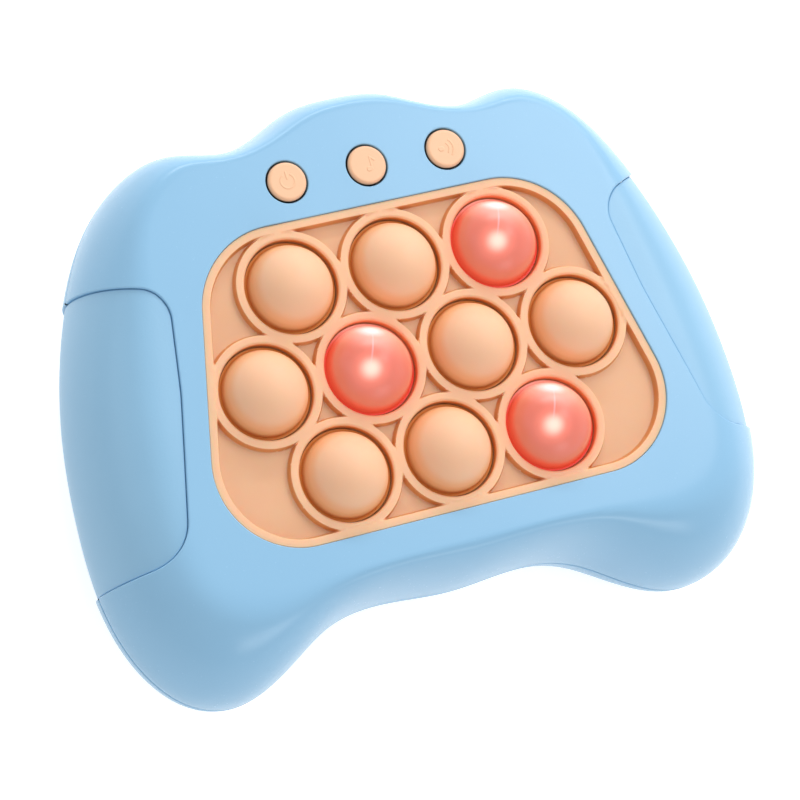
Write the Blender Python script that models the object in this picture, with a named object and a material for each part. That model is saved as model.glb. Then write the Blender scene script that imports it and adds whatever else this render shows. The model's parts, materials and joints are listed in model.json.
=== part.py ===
"""Electronic bubble pop game, lying on its back: a hand-held body with ten bubbles that press in.

Lengths are in metres. +Z points out of the play face, +Y towards the three buttons, and the
origin is the middle of the body's outline on the flat of its back.
"""

import math

import bmesh
import bpy
import numpy as np
from mathutils import Matrix, Vector

# Body: its outline, its depth from the flat back to the flat play face, and its walls
BODY_WIDTH = 0.1448
BODY_HEIGHT = 0.1142
BODY_DEPTH = 0.0370
WALL = 0.0020
FIT = 0.0003
OVERRUN = 0.0040
SHELL_SEAM = 0.0004
FRONT_ROLL_EXPONENT = 1.85
BACK_ROLL_EXPONENT = 2.0

# Play window: a trapezoid with round corners, set in from the edge of the flat face
WINDOW_BORDER_TOP = 0.0199
WINDOW_BORDER_BOTTOM = 0.00553
WINDOW_BORDER_TOP_SIDE = 0.01563
WINDOW_BORDER_BOTTOM_SIDE = 0.00093
WINDOW_BOTTOM_RADIUS = 0.0170
WINDOW_TOP_RADIUS = 0.0180

# Bubble grid: rows of three, four and three that fill the window
ROW_COUNTS = (3, 4, 3)
ROW_ANGLE = math.radians(60)
GRID_DROP = 0.00025
GRID_END_GAP = 0.00105
GRID_SIDE_GAP = 0.00075

# Bubble pad
RING_BELOW_FACE = 0.0005
RIM_BELOW_FACE = 0.0003
RIM_WIDTH = 0.0016
POCKET_DEPTH = 0.0014
PAD_SKIN = 0.0021
PAD_FLANGE = 0.0022
RING_WIDTH = 0.0020
RING_OVERLAP = 0.0004

# Bubbles and the light cups that they carry
DOME_HEIGHT_SHARE = 0.886
GROOVE_WIDTH = 0.0008
GROOVE_DEPTH = 0.0016
BUBBLE_SKIN = 0.0012
BUBBLE_TRAVEL = 0.0045
CUP_WALL = 0.0010
CUP_GAP = 0.0008
CUP_CROWN = 0.0012

# Pad frame and circuit board
FRAME_THICKNESS = 0.0020
FRAME_MARGIN = 0.0036
LEG_RADIUS = 0.0032
LEG_REACH = 0.0059
PIN_RADIUS = 0.0015
PIN_END_BELOW_BOARD = 0.0006
BOARD_BEHIND_FRAME = 0.0057
BOARD_THICKNESS = 0.0016
BOARD_OUT_TOP = 0.0059
BOARD_IN_BOTTOM = 0.0008
BOARD_ABOVE_WINDOW = 0.0045
BOARD_BELOW_WINDOW = 0.0027
BOARD_CORNER = 0.0040
TAB_MARGIN = 0.0010
LED_RADIUS = 0.0025
LED_HEIGHT = 0.0052

# Round buttons above the window
BUTTON_RADIUS = 0.0040
BUTTON_GAP = 0.0004
BUTTON_SPACING = 0.01735
BUTTON_ABOVE_WINDOW = 0.0079
BUTTON_PROUD = 0.0005
BUTTON_TRAVEL = 0.0010
BUTTON_EDGE = 0.0006
BUTTON_FLANGE_RADIUS = 0.0053
STEM_RADIUS = 0.0022
BOOT_RADIUS = 0.0044
BOOT_SKIRT = 0.0006
BOOT_TOP_RADIUS = 0.0026
BOOT_HEIGHT = 0.0026

# Side grips: the outline's corners are shares, below, with an arc at each inner corner
GRIP_TOP_RADIUS = 0.0071
GRIP_BEND_RADIUS = 0.0600
GRIP_BOTTOM_RADIUS = 0.0095
GRIP_STEP = 0.0005
GRIP_THICKNESS = 0.0033
GRIP_LIP = 0.0017

# Screws that close the case, driven in from the back beside the window's corners
SCREW_OUT_TOP = 0.0024
SCREW_ABOVE_WINDOW = 0.0088
SCREW_IN_BOTTOM = 0.0063
SCREW_BELOW_WINDOW = 0.0076
BOSS_RADIUS = 0.0032
BACK_BOSS_RADIUS = 0.0044
BOSS_BELOW_BOARD = 0.0034
SCREW_RADIUS = 0.0012
SCREW_HEAD_RADIUS = 0.0026
SCREW_HEAD = 0.0018
SCREW_SINK = 0.0050
SCREW_BORE_DEPTH = 0.0100
SCREW_TIP_GAP = 0.0013

# Batteries, their box in the back shell and their door
BATTERY_RADIUS = 0.00525
BATTERY_NUB_RADIUS = 0.0019
BATTERY_NUB = 0.0012
BATTERY_SPACING = 0.0110
BATTERY_COUNT = 3
BOX_BELOW_CENTRE = 0.0040
BOX_HALF_LENGTH = 0.0260
BOX_END_ROOM = 0.00375
BOX_SIDE_GAP = 0.0004
DOOR_RECESS = 0.0002
DOOR_THICKNESS = 0.0020
DOOR_LEDGE = 0.0008
DOOR_TONGUE_LENGTH = 0.0070
DOOR_TONGUE_HALF = 0.0040
DOOR_SCREW_FROM_TIP = 0.0035
DOOR_SCREW_RADIUS = 0.0010
DOOR_SCREW_GAP = 0.0005
DOOR_SCREW_HEAD_RADIUS = 0.0023
DOOR_SCREW_HEAD = 0.0009
DOOR_SCREW_SINK = 0.0013
DOOR_SCREW_LENGTH = 0.0055
DOOR_BOSS_HEIGHT = 0.0090
HOOK_HALF_WIDTH = 0.0020
HOOK_ROOT = 0.0014
HOOK_REACH = 0.0012
HOOK_BOTTOM = 0.0037
HOOK_THICKNESS = 0.0012
CONTACT_THICKNESS = 0.0006
CONTACT_BOTTOM = 0.0055
CONTACT_HALF_WIDTH = 0.0042
CONTACT_CONE_RADIUS = 0.0030
CONTACT_TIP_RADIUS = 0.0016
WIRE_RADIUS = 0.0007
WIRE_HOLE_RADIUS = 0.0013
WIRE_SWAY_SHARE = 0.385

# Speaker behind its grille in the back shell
SPEAKER_RADIUS = 0.0100
SPEAKER_RIM = 0.0015
SPEAKER_HEIGHT = 0.0052
MAGNET_RADIUS = 0.0058
SPEAKER_RING_HEIGHT = 0.0040
SPEAKER_RING_WALL = 0.0012
GRILLE_HOLE_RADIUS = 0.0012
GRILLE_SPACING = 0.0042
GRILLE_RINGS = 1
PILLAR_RADIUS = 0.0025
PILLAR_IN = 0.0095
PILLAR_FROM_END = 0.0090

# Mesh fineness
COLUMN_STEPS = 2
OUTER_ROLL_STEPS = 5
INNER_ROLL_STEPS = 3
ARC_STEPS = 4
BUBBLE_SIDES = 20
HOLE_SIDES = 16
SMALL_SIDES = 10
CUP_SIDES = 8
DOME_STEPS = 4
HOLLOW_STEPS = 2
WIRE_STEPS = 6

# Right half of the body from the middle of the top edge round to the middle of the bottom edge:
# shares of the half width and half height, for the widest line, the edge of the flat face and
# the edge of the flat back, and the height of the widest line as a share of the depth
WIDEST_SHARES = (
    (0.0, 1.0), (0.124, 0.986), (0.249, 0.916), (0.359, 0.881), (0.528, 0.915), (0.684, 0.828),
    (0.820, 0.611), (0.917, 0.329), (0.974, 0.049), (1.0, -0.264), (0.993, -0.545),
    (0.925, -0.813), (0.804, -0.968), (0.677, -1.0), (0.526, -0.925), (0.391, -0.825),
    (0.276, -0.788), (0.0, -0.802),
)
FACE_EDGE_SHARES = (
    (0.0, 0.895), (0.115, 0.877), (0.235, 0.821), (0.359, 0.786), (0.504, 0.783), (0.615, 0.681),
    (0.670, 0.497), (0.698, 0.261), (0.722, 0.016), (0.743, -0.247), (0.749, -0.457),
    (0.725, -0.588), (0.663, -0.650), (0.587, -0.673), (0.477, -0.678), (0.366, -0.676),
    (0.249, -0.674), (0.0, -0.673),
)
BACK_EDGE_SHARES = (
    (0.0, 0.821), (0.117, 0.809), (0.235, 0.769), (0.359, 0.743), (0.511, 0.751), (0.628, 0.673),
    (0.691, 0.489), (0.725, 0.261), (0.753, 0.016), (0.773, -0.247), (0.773, -0.492),
    (0.746, -0.667), (0.691, -0.772), (0.622, -0.807), (0.504, -0.778), (0.380, -0.711),
    (0.262, -0.667), (0.0, -0.667),
)
WIDEST_HEIGHT_SHARES = (
    0.554, 0.554, 0.554, 0.554, 0.532, 0.470, 0.459, 0.459, 0.457, 0.454, 0.438, 0.405, 0.351,
    0.311, 0.311, 0.338, 0.378, 0.392,
)

# Corners of the right grip's outline, anticlockwise from the inner bottom one, as shares too
GRIP_CORNER_SHARES = (
    (0.7970, -0.5061), (1.105, -0.5342), (1.105, 0.6287), (0.6519, 0.3923), (0.6961, 0.0403),
)

# Places that follow from the sizes above, seen from the front
FACE_TOP = FACE_EDGE_SHARES[0][1] * BODY_HEIGHT / 2
FACE_BOTTOM = -FACE_EDGE_SHARES[-1][1] * BODY_HEIGHT / 2
FACE_HALF = max(x for x, _ in FACE_EDGE_SHARES) * BODY_WIDTH / 2
WINDOW_TOP = FACE_TOP - WINDOW_BORDER_TOP
WINDOW_BOTTOM = FACE_BOTTOM - WINDOW_BORDER_BOTTOM
WINDOW_TOP_HALF = FACE_HALF - WINDOW_BORDER_TOP_SIDE
WINDOW_BOTTOM_HALF = FACE_HALF - WINDOW_BORDER_BOTTOM_SIDE
ROW_GAPS = len(ROW_COUNTS) - 1
PITCH_BY_ROWS = (
    (WINDOW_TOP + WINDOW_BOTTOM - 2 * (GRID_END_GAP + RING_OVERLAP))
    / (ROW_GAPS * math.sin(ROW_ANGLE) + 1)
)
PITCH_BY_COLUMNS = (
    (WINDOW_TOP_HALF + WINDOW_BOTTOM_HALF - 2 * (GRID_SIDE_GAP + RING_OVERLAP))
    / max(ROW_COUNTS)
)
PITCH = min(PITCH_BY_ROWS, PITCH_BY_COLUMNS)
GRID_MIDDLE = (WINDOW_TOP - WINDOW_BOTTOM) / 2 - GRID_DROP
RING_OUTER_RADIUS = PITCH / 2 + RING_OVERLAP
RING_INNER_RADIUS = RING_OUTER_RADIUS - RING_WIDTH
BUBBLE_RADIUS = RING_INNER_RADIUS - GROOVE_WIDTH
CUP_BORE = LED_RADIUS + CUP_GAP
CUP_RADIUS = CUP_BORE + CUP_WALL
BUTTON_ROW = WINDOW_TOP + BUTTON_ABOVE_WINDOW
BOARD_TOP_HALF = WINDOW_TOP_HALF + BOARD_OUT_TOP
BOARD_BOTTOM_HALF = WINDOW_BOTTOM_HALF - BOARD_IN_BOTTOM
BOARD_TOP = WINDOW_TOP + BOARD_ABOVE_WINDOW
BOARD_BOTTOM = WINDOW_BOTTOM + BOARD_BELOW_WINDOW
TAB_HALF = BUTTON_SPACING + BOOT_RADIUS + TAB_MARGIN
TAB_TOP = BUTTON_ROW + BOOT_RADIUS + TAB_MARGIN
BATTERY_LENGTH = 2 * (BOX_HALF_LENGTH - BOX_END_ROOM)
CASE_SCREWS = (
    (WINDOW_TOP_HALF + SCREW_OUT_TOP, WINDOW_TOP + SCREW_ABOVE_WINDOW),
    (WINDOW_BOTTOM_HALF - SCREW_IN_BOTTOM, -WINDOW_BOTTOM - SCREW_BELOW_WINDOW),
)
PILLARS = (
    (BOARD_TOP_HALF - PILLAR_IN, BOARD_TOP - PILLAR_FROM_END),
    (BOARD_BOTTOM_HALF - PILLAR_IN, PILLAR_FROM_END - BOARD_BOTTOM),
)

# Heights that follow from the sizes above
RING_TOP = BODY_DEPTH - RING_BELOW_FACE
FLOOR_TOP = RING_TOP - POCKET_DEPTH
PAD_BOTTOM = FLOOR_TOP - PAD_SKIN
GROOVE_FLOOR = RING_TOP - GROOVE_DEPTH
SHELL_CEILING = BODY_DEPTH - WALL
FRAME_TOP = PAD_BOTTOM - FIT
FRAME_BOTTOM = FRAME_TOP - FRAME_THICKNESS
BOARD_FACE = FRAME_BOTTOM - BOARD_BEHIND_FRAME
BOARD_HEIGHT = BOARD_FACE - BOARD_THICKNESS
BOSS_MEETING_HEIGHT = BOARD_HEIGHT - BOSS_BELOW_BOARD
CUP_BOTTOM = BOARD_FACE + BUBBLE_TRAVEL + FIT
FOOT_RADIUS = RING_INNER_RADIUS - FIT
DOME_HEIGHT = BUBBLE_RADIUS * DOME_HEIGHT_SHARE
BUBBLE_APEX = GROOVE_FLOOR + DOME_HEIGHT
DOME_SPHERE = (BUBBLE_RADIUS**2 + DOME_HEIGHT**2) / (2 * DOME_HEIGHT)
BOX_HALF_WIDTH = BATTERY_SPACING * (BATTERY_COUNT - 1) / 2 + BATTERY_RADIUS + BOX_SIDE_GAP
DOOR_TOP = DOOR_RECESS + DOOR_THICKNESS
LEDGE_HEIGHT = DOOR_TOP + FIT
BATTERY_AXIS = DOOR_TOP + FIT + BATTERY_RADIUS
BOX_CEILING = BATTERY_AXIS + BATTERY_RADIUS + FIT
BOX_TOP = BOX_HALF_WIDTH + WALL - BOX_BELOW_CENTRE
SPEAKER_ABOVE_CENTRE = (BOX_TOP + BACK_EDGE_SHARES[0][1] * BODY_HEIGHT / 2) / 2
WIRE_SWAY = WIRE_SWAY_SHARE * (BOARD_HEIGHT - FIT - BOX_CEILING - WALL)
ROLL_MIDDLE = math.pi / 2


def grid_places():
    """Bubble centres, row by row from the top left."""
    row_step = PITCH * math.sin(ROW_ANGLE)
    places = []
    for row, count in enumerate(ROW_COUNTS):
        y = GRID_MIDDLE + row_step * (ROW_GAPS / 2 - row)
        for column in range(count):
            places.append((PITCH * (column - (count - 1) / 2), y))
    return places


def both_sides(places):
    """Each place on the right, then its mirror image on the left."""
    return [(side * x, y) for x, y in places for side in (1, -1)]


def surface_material(name, colour, roughness, metallic=0.0):
    material = bpy.data.materials.new(name)
    material.use_nodes = True
    shader = material.node_tree.nodes["Principled BSDF"]
    shader.inputs["Base Color"].default_value = (*colour, 1.0)
    shader.inputs["Roughness"].default_value = roughness
    shader.inputs["Metallic"].default_value = metallic
    material.diffuse_color = (*colour, 1.0)
    return material


def blue_shell(name):
    return surface_material(name, (0.38, 0.64, 0.87), 0.35)


def blue_grip(name):
    return surface_material(name, (0.33, 0.58, 0.80), 0.55)


def peach_silicone(name):
    return surface_material(name, (0.95, 0.56, 0.34), 0.42)


def red_silicone(name):
    return surface_material(name, (0.90, 0.16, 0.13), 0.35)


def peach_plastic(name):
    return surface_material(name, (0.90, 0.55, 0.38), 0.35)


def clear_plastic(name):
    return surface_material(name, (0.85, 0.86, 0.88), 0.25)


def white_plastic(name):
    return surface_material(name, (0.80, 0.80, 0.78), 0.45)


def board_laminate(name):
    return surface_material(name, (0.03, 0.22, 0.10), 0.50)


def grey_rubber(name):
    return surface_material(name, (0.30, 0.31, 0.33), 0.70)


def steel(name):
    return surface_material(name, (0.62, 0.62, 0.64), 0.30, 1.0)


def battery_sleeve(name):
    return surface_material(name, (0.10, 0.11, 0.13), 0.35)


def black_paper(name):
    return surface_material(name, (0.05, 0.05, 0.05), 0.80)


def red_wire(name):
    return surface_material(name, (0.70, 0.03, 0.03), 0.45)


def black_wire(name):
    return surface_material(name, (0.02, 0.02, 0.02), 0.45)


def object_of(name, bm, finish=None, smooth=True):
    """A named object from the bmesh, its faces turned outward."""
    bmesh.ops.recalc_face_normals(bm, faces=bm.faces)
    mesh = bpy.data.meshes.new(name)
    bm.to_mesh(mesh)
    bm.free()
    if smooth:
        mesh.shade_smooth()
        mesh.set_sharp_from_angle(angle=math.radians(35))
    made = bpy.data.objects.new(name, mesh)
    if finish:
        mesh.materials.append(finish(name))
    bpy.context.scene.collection.objects.link(made)
    return made


def combine(target, tool, operation):
    """A Boolean that stays on the target, with the tool kept as a hidden guide."""
    tool.hide_render = True
    tool.display_type = "WIRE"
    modifier = target.modifiers.new(f"{operation.lower()} {tool.name}", "BOOLEAN")
    modifier.operation = operation
    modifier.solver = "EXACT"
    modifier.object = tool


def cut(target, tool):
    combine(target, tool, "DIFFERENCE")


def add(target, tool):
    combine(target, tool, "UNION")


def prism(name, outline, low, high, finish=None):
    """An upright block of the outline's shape."""
    bm = bmesh.new()
    corners = [bm.verts.new((x, y, low)) for x, y in outline]
    face = bm.faces.new(corners)
    raised = bmesh.ops.extrude_face_region(bm, geom=[face])["geom"]
    tops = [item for item in raised if isinstance(item, bmesh.types.BMVert)]
    bmesh.ops.translate(bm, verts=tops, vec=Vector((0, 0, high - low)))
    return object_of(name, bm, finish)


def box(name, low, high, finish=None):
    outline = [(low[0], low[1]), (high[0], low[1]), (high[0], high[1]), (low[0], high[1])]
    return prism(name, outline, low[2], high[2], finish)


def turned(name, profile, sides, finish=None, place=(0, 0, 0)):
    """A closed solid turned about +Z from (radius, height) points, with its origin on its axis."""
    bm = bmesh.new()
    points = [bm.verts.new((radius, 0, height)) for radius, height in profile]
    edges = [bm.edges.new(pair) for pair in zip(points, points[1:])]
    if profile[0][0] > 0 and profile[-1][0] > 0:
        edges.append(bm.edges.new((points[-1], points[0])))
    bmesh.ops.spin(
        bm, geom=points + edges, angle=math.tau, steps=sides, axis=(0, 0, 1), cent=(0, 0, 0)
    )
    bmesh.ops.remove_doubles(bm, verts=bm.verts, dist=FIT / 100)
    made = object_of(name, bm, finish)
    made.location = place
    return made


def rods(name, radius, low, high, sides, places, finish=None):
    """Upright rods of one size, one at each place, in one object."""
    bm = bmesh.new()
    middle = (low + high) / 2
    for x, y in places:
        bmesh.ops.create_cone(
            bm, cap_ends=True, segments=sides, radius1=radius, radius2=radius, depth=high - low,
            matrix=Matrix.Translation((x, y, middle)),
        )
    return object_of(name, bm, finish)


def rounded_outline(corners, radii):
    """The outline of a polygon, given anticlockwise, with each corner an arc of its radius."""
    outline = []
    for index, corner in enumerate(corners):
        here = Vector(corner)
        before = (Vector(corners[index - 1]) - here).normalized()
        after = (Vector(corners[(index + 1) % len(corners)]) - here).normalized()
        half_angle = before.angle(after) / 2
        radius = radii[index]
        if not radius:
            outline.append(tuple(here))
            continue
        centre = here + (before + after).normalized() * radius / math.sin(half_angle)
        start = here + before * radius / math.tan(half_angle) - centre
        turn = math.pi - 2 * half_angle
        if before.cross(after) > 0:
            turn = -turn
        for step in range(ARC_STEPS + 1):
            spoke = start.copy()
            spoke.rotate(Matrix.Rotation(turn * step / ARC_STEPS, 2))
            outline.append(tuple(centre + spoke))
    return outline


def window_outline(grow):
    """The play window's outline, grown outward all round."""
    lean = (WINDOW_BOTTOM_HALF - WINDOW_TOP_HALF) / (WINDOW_TOP + WINDOW_BOTTOM)
    shift = grow * math.hypot(1, lean)
    top = WINDOW_TOP + grow
    bottom = -WINDOW_BOTTOM - grow
    top_half = WINDOW_TOP_HALF + shift - lean * grow
    bottom_half = WINDOW_BOTTOM_HALF + shift + lean * grow
    corners = [(-bottom_half, bottom), (bottom_half, bottom), (top_half, top), (-top_half, top)]
    radii = [WINDOW_BOTTOM_RADIUS + grow] * 2 + [WINDOW_TOP_RADIUS + grow] * 2
    return rounded_outline(corners, radii)


def closed_curve(points, steps):
    """A closed cubic spline through the points, whose first two columns are its plan."""
    ahead = np.roll(points, -1, axis=0)
    span = np.linalg.norm((ahead - points)[:, :2], axis=1)[:, None]
    span_before = np.roll(span, 1, axis=0)
    count = len(points)
    system = np.zeros((count, count))
    rows = np.arange(count)
    system[rows, rows - 1] = span[:, 0]
    system[rows, rows] = 2 * (span + span_before)[:, 0]
    system[rows, (rows + 1) % count] = span_before[:, 0]
    behind = np.roll(points, 1, axis=0)
    rate = 3 * (span / span_before * (points - behind) + span_before / span * (ahead - points))
    slope = np.linalg.solve(system, rate)
    slope_ahead = np.roll(slope, -1, axis=0)
    pieces = []
    for step in range(steps):
        t = step / steps
        pieces.append(
            (2 * t**3 - 3 * t**2 + 1) * points
            + (t**3 - 2 * t**2 + t) * span * slope
            + (3 * t**2 - 2 * t**3) * ahead
            + (t**3 - t**2) * span * slope_ahead
        )
    return np.stack(pieces, axis=1).reshape(count * steps, -1)


def body_lines():
    """The widest line with its heights, and the edges of the flat face and the flat back."""
    plan = np.array([BODY_WIDTH / 2, BODY_HEIGHT / 2])
    right = np.column_stack([
        np.array(WIDEST_SHARES) * plan,
        np.array(WIDEST_HEIGHT_SHARES) * BODY_DEPTH,
        np.array(FACE_EDGE_SHARES) * plan,
        np.array(BACK_EDGE_SHARES) * plan,
    ])
    left = right[-2:0:-1] * np.array([-1, 1, 1, -1, 1, -1, 1])
    line = closed_curve(np.vstack([right, left]), COLUMN_STEPS)
    return line[:, :2], line[:, 2], line[:, 3:5], line[:, 5:7]


def roll_rings(inner, widest, inner_height, widest_height, exponent, steps):
    """Rings from the inner line out to the widest line, along a quarter of a superellipse."""
    rings = []
    for step in range(steps + 1):
        angle = ROLL_MIDDLE * step / steps
        out = math.sin(angle) ** (2 / exponent)
        up = max(math.cos(angle), 0) ** (2 / exponent)
        plan = inner + (widest - inner) * out
        height = widest_height + (inner_height - widest_height) * up
        rings.append(np.column_stack([plan, height]))
    return np.array(rings)


def moved_inward(rings, inset, facing):
    """The rings moved in along the surface's normals; the flat ends and the seam stay level."""
    if not inset:
        return rings
    across = np.gradient(rings, axis=0)
    along = np.roll(rings, -1, axis=1) - np.roll(rings, 1, axis=1)
    normal = np.cross(along, across)
    normal *= facing / np.linalg.norm(normal, axis=2, keepdims=True)
    normal[0] = (0, 0, facing)
    normal[-1, :, 2] = 0
    normal[-1] /= np.linalg.norm(normal[-1], axis=1, keepdims=True)
    return rings - normal * inset


def front_rings(inset, steps, seam=0.0):
    widest, height, face, _ = body_lines()
    rings = roll_rings(face, widest, BODY_DEPTH, height + seam, FRONT_ROLL_EXPONENT, steps)
    return moved_inward(rings, inset, 1)


def back_rings(inset, steps, seam=0.0):
    widest, height, _, back = body_lines()
    rings = roll_rings(back, widest, 0, height - seam, BACK_ROLL_EXPONENT, steps)
    return moved_inward(rings, inset, -1)


def lofted(name, rings, finish=None):
    """A closed solid through the rings, with a flat cap on the first and on the last."""
    bm = bmesh.new()
    loops = [[bm.verts.new(point) for point in ring] for ring in rings]
    for lower, upper in zip(loops, loops[1:]):
        for index, start in enumerate(lower):
            after = (index + 1) % len(lower)
            bm.faces.new((start, lower[after], upper[after], upper[index]))
    bm.faces.new(loops[0])
    bm.faces.new(loops[-1])
    return object_of(name, bm, finish)


def body_solid(name, inset, steps):
    """The whole body, both sides of the seam, moved in by the inset."""
    front = front_rings(inset, steps)
    back = back_rings(inset, steps)
    return lofted(name, list(front) + list(back[-2::-1]))


def held_inside(feature):
    """Trims a boss or a pin to the middle of the wall that carries it, and returns it."""
    trim = body_solid(f"{feature.name} trim", WALL / 2, INNER_ROLL_STEPS)
    combine(feature, trim, "INTERSECT")
    return feature


def shell_half(name, rings_of, finish):
    """One half of the case: its outer surface, its seam edge and its inner surface."""
    outer = rings_of(0, OUTER_ROLL_STEPS, SHELL_SEAM / 2)
    inner = rings_of(WALL, INNER_ROLL_STEPS, SHELL_SEAM / 2)
    return lofted(name, list(outer) + list(inner[::-1]), finish)


def grip_outline(side, grow):
    """A side grip's outline from the front, on the right for side 1 and the left for side -1."""
    corners = [(x * BODY_WIDTH / 2, y * BODY_HEIGHT / 2) for x, y in GRIP_CORNER_SHARES]
    moved = []
    for index, corner in enumerate(corners):
        here = Vector(corner)
        before = (here - Vector(corners[index - 1])).normalized()
        after = (Vector(corners[(index + 1) % len(corners)]) - here).normalized()
        out_before = Vector((before.y, -before.x))
        out_after = Vector((after.y, -after.x))
        reach = grow / (1 + out_before.dot(out_after))
        moved.append(here + (out_before + out_after) * reach)
    outline = rounded_outline(moved, [
        GRIP_BOTTOM_RADIUS + grow, 0, 0, GRIP_TOP_RADIUS + grow, GRIP_BEND_RADIUS + grow,
    ])
    mirrored = [(side * x, y) for x, y in outline]
    return mirrored[::side]


def make_grip(name, side):
    """A side grip: a panel that fills the opening, with a lip behind the shells all round."""
    grip = body_solid(name, GRIP_STEP, OUTER_ROLL_STEPS)
    grip.data.materials.append(blue_grip(name))
    panel = prism(f"{name} outline", grip_outline(side, -FIT), -OVERRUN, BODY_DEPTH + OVERRUN)
    combine(grip, panel, "INTERSECT")
    lip = body_solid(f"{name} lip", WALL + FIT, INNER_ROLL_STEPS)
    lip_outline = prism(
        f"{name} lip outline", grip_outline(side, GRIP_LIP), -OVERRUN, BODY_DEPTH + OVERRUN
    )
    combine(lip, lip_outline, "INTERSECT")
    add(grip, lip)
    cut(grip, body_solid(f"{name} hollow", GRIP_STEP + GRIP_THICKNESS, INNER_ROLL_STEPS))
    return grip


def pin_places():
    """Locating pins outside the window's corners, in the directions of the corner arcs."""
    lean = (WINDOW_BOTTOM_HALF - WINDOW_TOP_HALF) / (WINDOW_TOP + WINDOW_BOTTOM)
    lean_angle = math.atan(lean)
    top_tangent = WINDOW_TOP_RADIUS * math.tan((ROLL_MIDDLE - lean_angle) / 2)
    bottom_tangent = WINDOW_BOTTOM_RADIUS * math.tan((ROLL_MIDDLE + lean_angle) / 2)
    places = []
    for middle_x, middle_y, radius, direction in (
        (WINDOW_TOP_HALF - top_tangent, WINDOW_TOP - WINDOW_TOP_RADIUS, WINDOW_TOP_RADIUS, 50),
        (
            WINDOW_BOTTOM_HALF - bottom_tangent,
            WINDOW_BOTTOM_RADIUS - WINDOW_BOTTOM,
            WINDOW_BOTTOM_RADIUS,
            -45,
        ),
    ):
        reach = radius + LEG_REACH
        angle = math.radians(direction)
        places.append((
            middle_x + reach * math.cos(angle),
            middle_y + reach * math.sin(angle),
        ))
    return both_sides(places)


def button_places():
    return [(BUTTON_SPACING * column, BUTTON_ROW) for column in (-1, 0, 1)]


def make_front_shell():
    shell = shell_half("front_shell", front_rings, blue_shell)
    screws = both_sides(CASE_SCREWS)
    meeting = BOSS_MEETING_HEIGHT + FIT / 2
    pin_end = BOARD_HEIGHT - PIN_END_BELOW_BOARD
    high = BODY_DEPTH + OVERRUN
    low = SHELL_CEILING - OVERRUN
    add(shell, held_inside(rods("front bosses", BOSS_RADIUS, meeting, BODY_DEPTH, HOLE_SIDES,
                                screws)))
    add(shell, held_inside(rods("front pins", PIN_RADIUS, pin_end, BODY_DEPTH, SMALL_SIDES,
                                pin_places())))
    cut(shell, prism("window cutter", window_outline(0), low, high))
    cut(shell, rods("button holes", BUTTON_RADIUS + BUTTON_GAP, low, high, HOLE_SIDES,
                    button_places()))
    for side in (1, -1):
        cut(shell, prism(f"front grip opening {side}", grip_outline(side, 0), 0, high))
    cut(shell, rods("front bores", SCREW_RADIUS + FIT, 0, BOSS_MEETING_HEIGHT + SCREW_BORE_DEPTH,
                    SMALL_SIDES, screws))
    return shell


def grille_places():
    """Hole centres in rings of a hexagonal grid about the speaker's axis."""
    places = []
    for row in range(-GRILLE_RINGS, GRILLE_RINGS + 1):
        for column in range(-GRILLE_RINGS, GRILLE_RINGS + 1):
            if abs(row + column) > GRILLE_RINGS:
                continue
            x = GRILLE_SPACING * (column + row / 2)
            y = GRILLE_SPACING * row * math.sin(math.radians(60))
            places.append((x, SPEAKER_ABOVE_CENTRE + y))
    return places


def box_corner(share_x, share_y, grow, height):
    """A corner of the battery box in plan, grown outward, at a height."""
    x = share_x * (BOX_HALF_LENGTH + grow)
    y = share_y * (BOX_HALF_WIDTH + grow) - BOX_BELOW_CENTRE
    return (x, y, height)


def door_screw_place():
    x = BOX_HALF_LENGTH + DOOR_LEDGE - FIT + DOOR_TONGUE_LENGTH - DOOR_SCREW_FROM_TIP
    return (x, -BOX_BELOW_CENTRE)


def hook_places():
    """Between the cells, so that the hooks turn clear of them."""
    return [side * BATTERY_SPACING / 2 - BOX_BELOW_CENTRE for side in (1, -1)]


def wire_places():
    """Holes in the box's ceiling: right end over the first battery, left end over the last."""
    reach = BOX_HALF_LENGTH - FIT - CONTACT_THICKNESS / 2 - WIRE_HOLE_RADIUS
    row = BATTERY_SPACING * (BATTERY_COUNT - 1) / 2
    return [(reach, row - BOX_BELOW_CENTRE), (-reach, -row - BOX_BELOW_CENTRE)]


def battery_box_cuts(shell):
    """The box's inside, the door's recess with its tongue, and the slots for the door's hooks."""
    cut(shell, box("box inside", box_corner(-1, -1, 0, -OVERRUN), box_corner(1, 1, 0, BOX_CEILING)))
    recess = LEDGE_HEIGHT
    cut(shell, box("door recess", box_corner(-1, -1, DOOR_LEDGE, -OVERRUN),
                   box_corner(1, 1, DOOR_LEDGE, recess)))
    tongue_tip = BOX_HALF_LENGTH + DOOR_LEDGE + DOOR_TONGUE_LENGTH
    cut(shell, box("tongue recess",
                   (BOX_HALF_LENGTH, -BOX_BELOW_CENTRE - DOOR_TONGUE_HALF - FIT, -OVERRUN),
                   (tongue_tip, -BOX_BELOW_CENTRE + DOOR_TONGUE_HALF + FIT, recess)))
    for index, y in enumerate(hook_places()):
        low = (-BOX_HALF_LENGTH - WALL - OVERRUN, y - HOOK_HALF_WIDTH - FIT, HOOK_BOTTOM - FIT)
        high = (WALL / 2 - BOX_HALF_LENGTH, y + HOOK_HALF_WIDTH + FIT,
                HOOK_BOTTOM + HOOK_THICKNESS + FIT)
        cut(shell, box(f"hook slot {index}", low, high))
    cut(shell, rods("wire holes", WIRE_HOLE_RADIUS, BOX_CEILING - WALL,
                    BOX_CEILING + WALL + OVERRUN, SMALL_SIDES, wire_places()))


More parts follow.
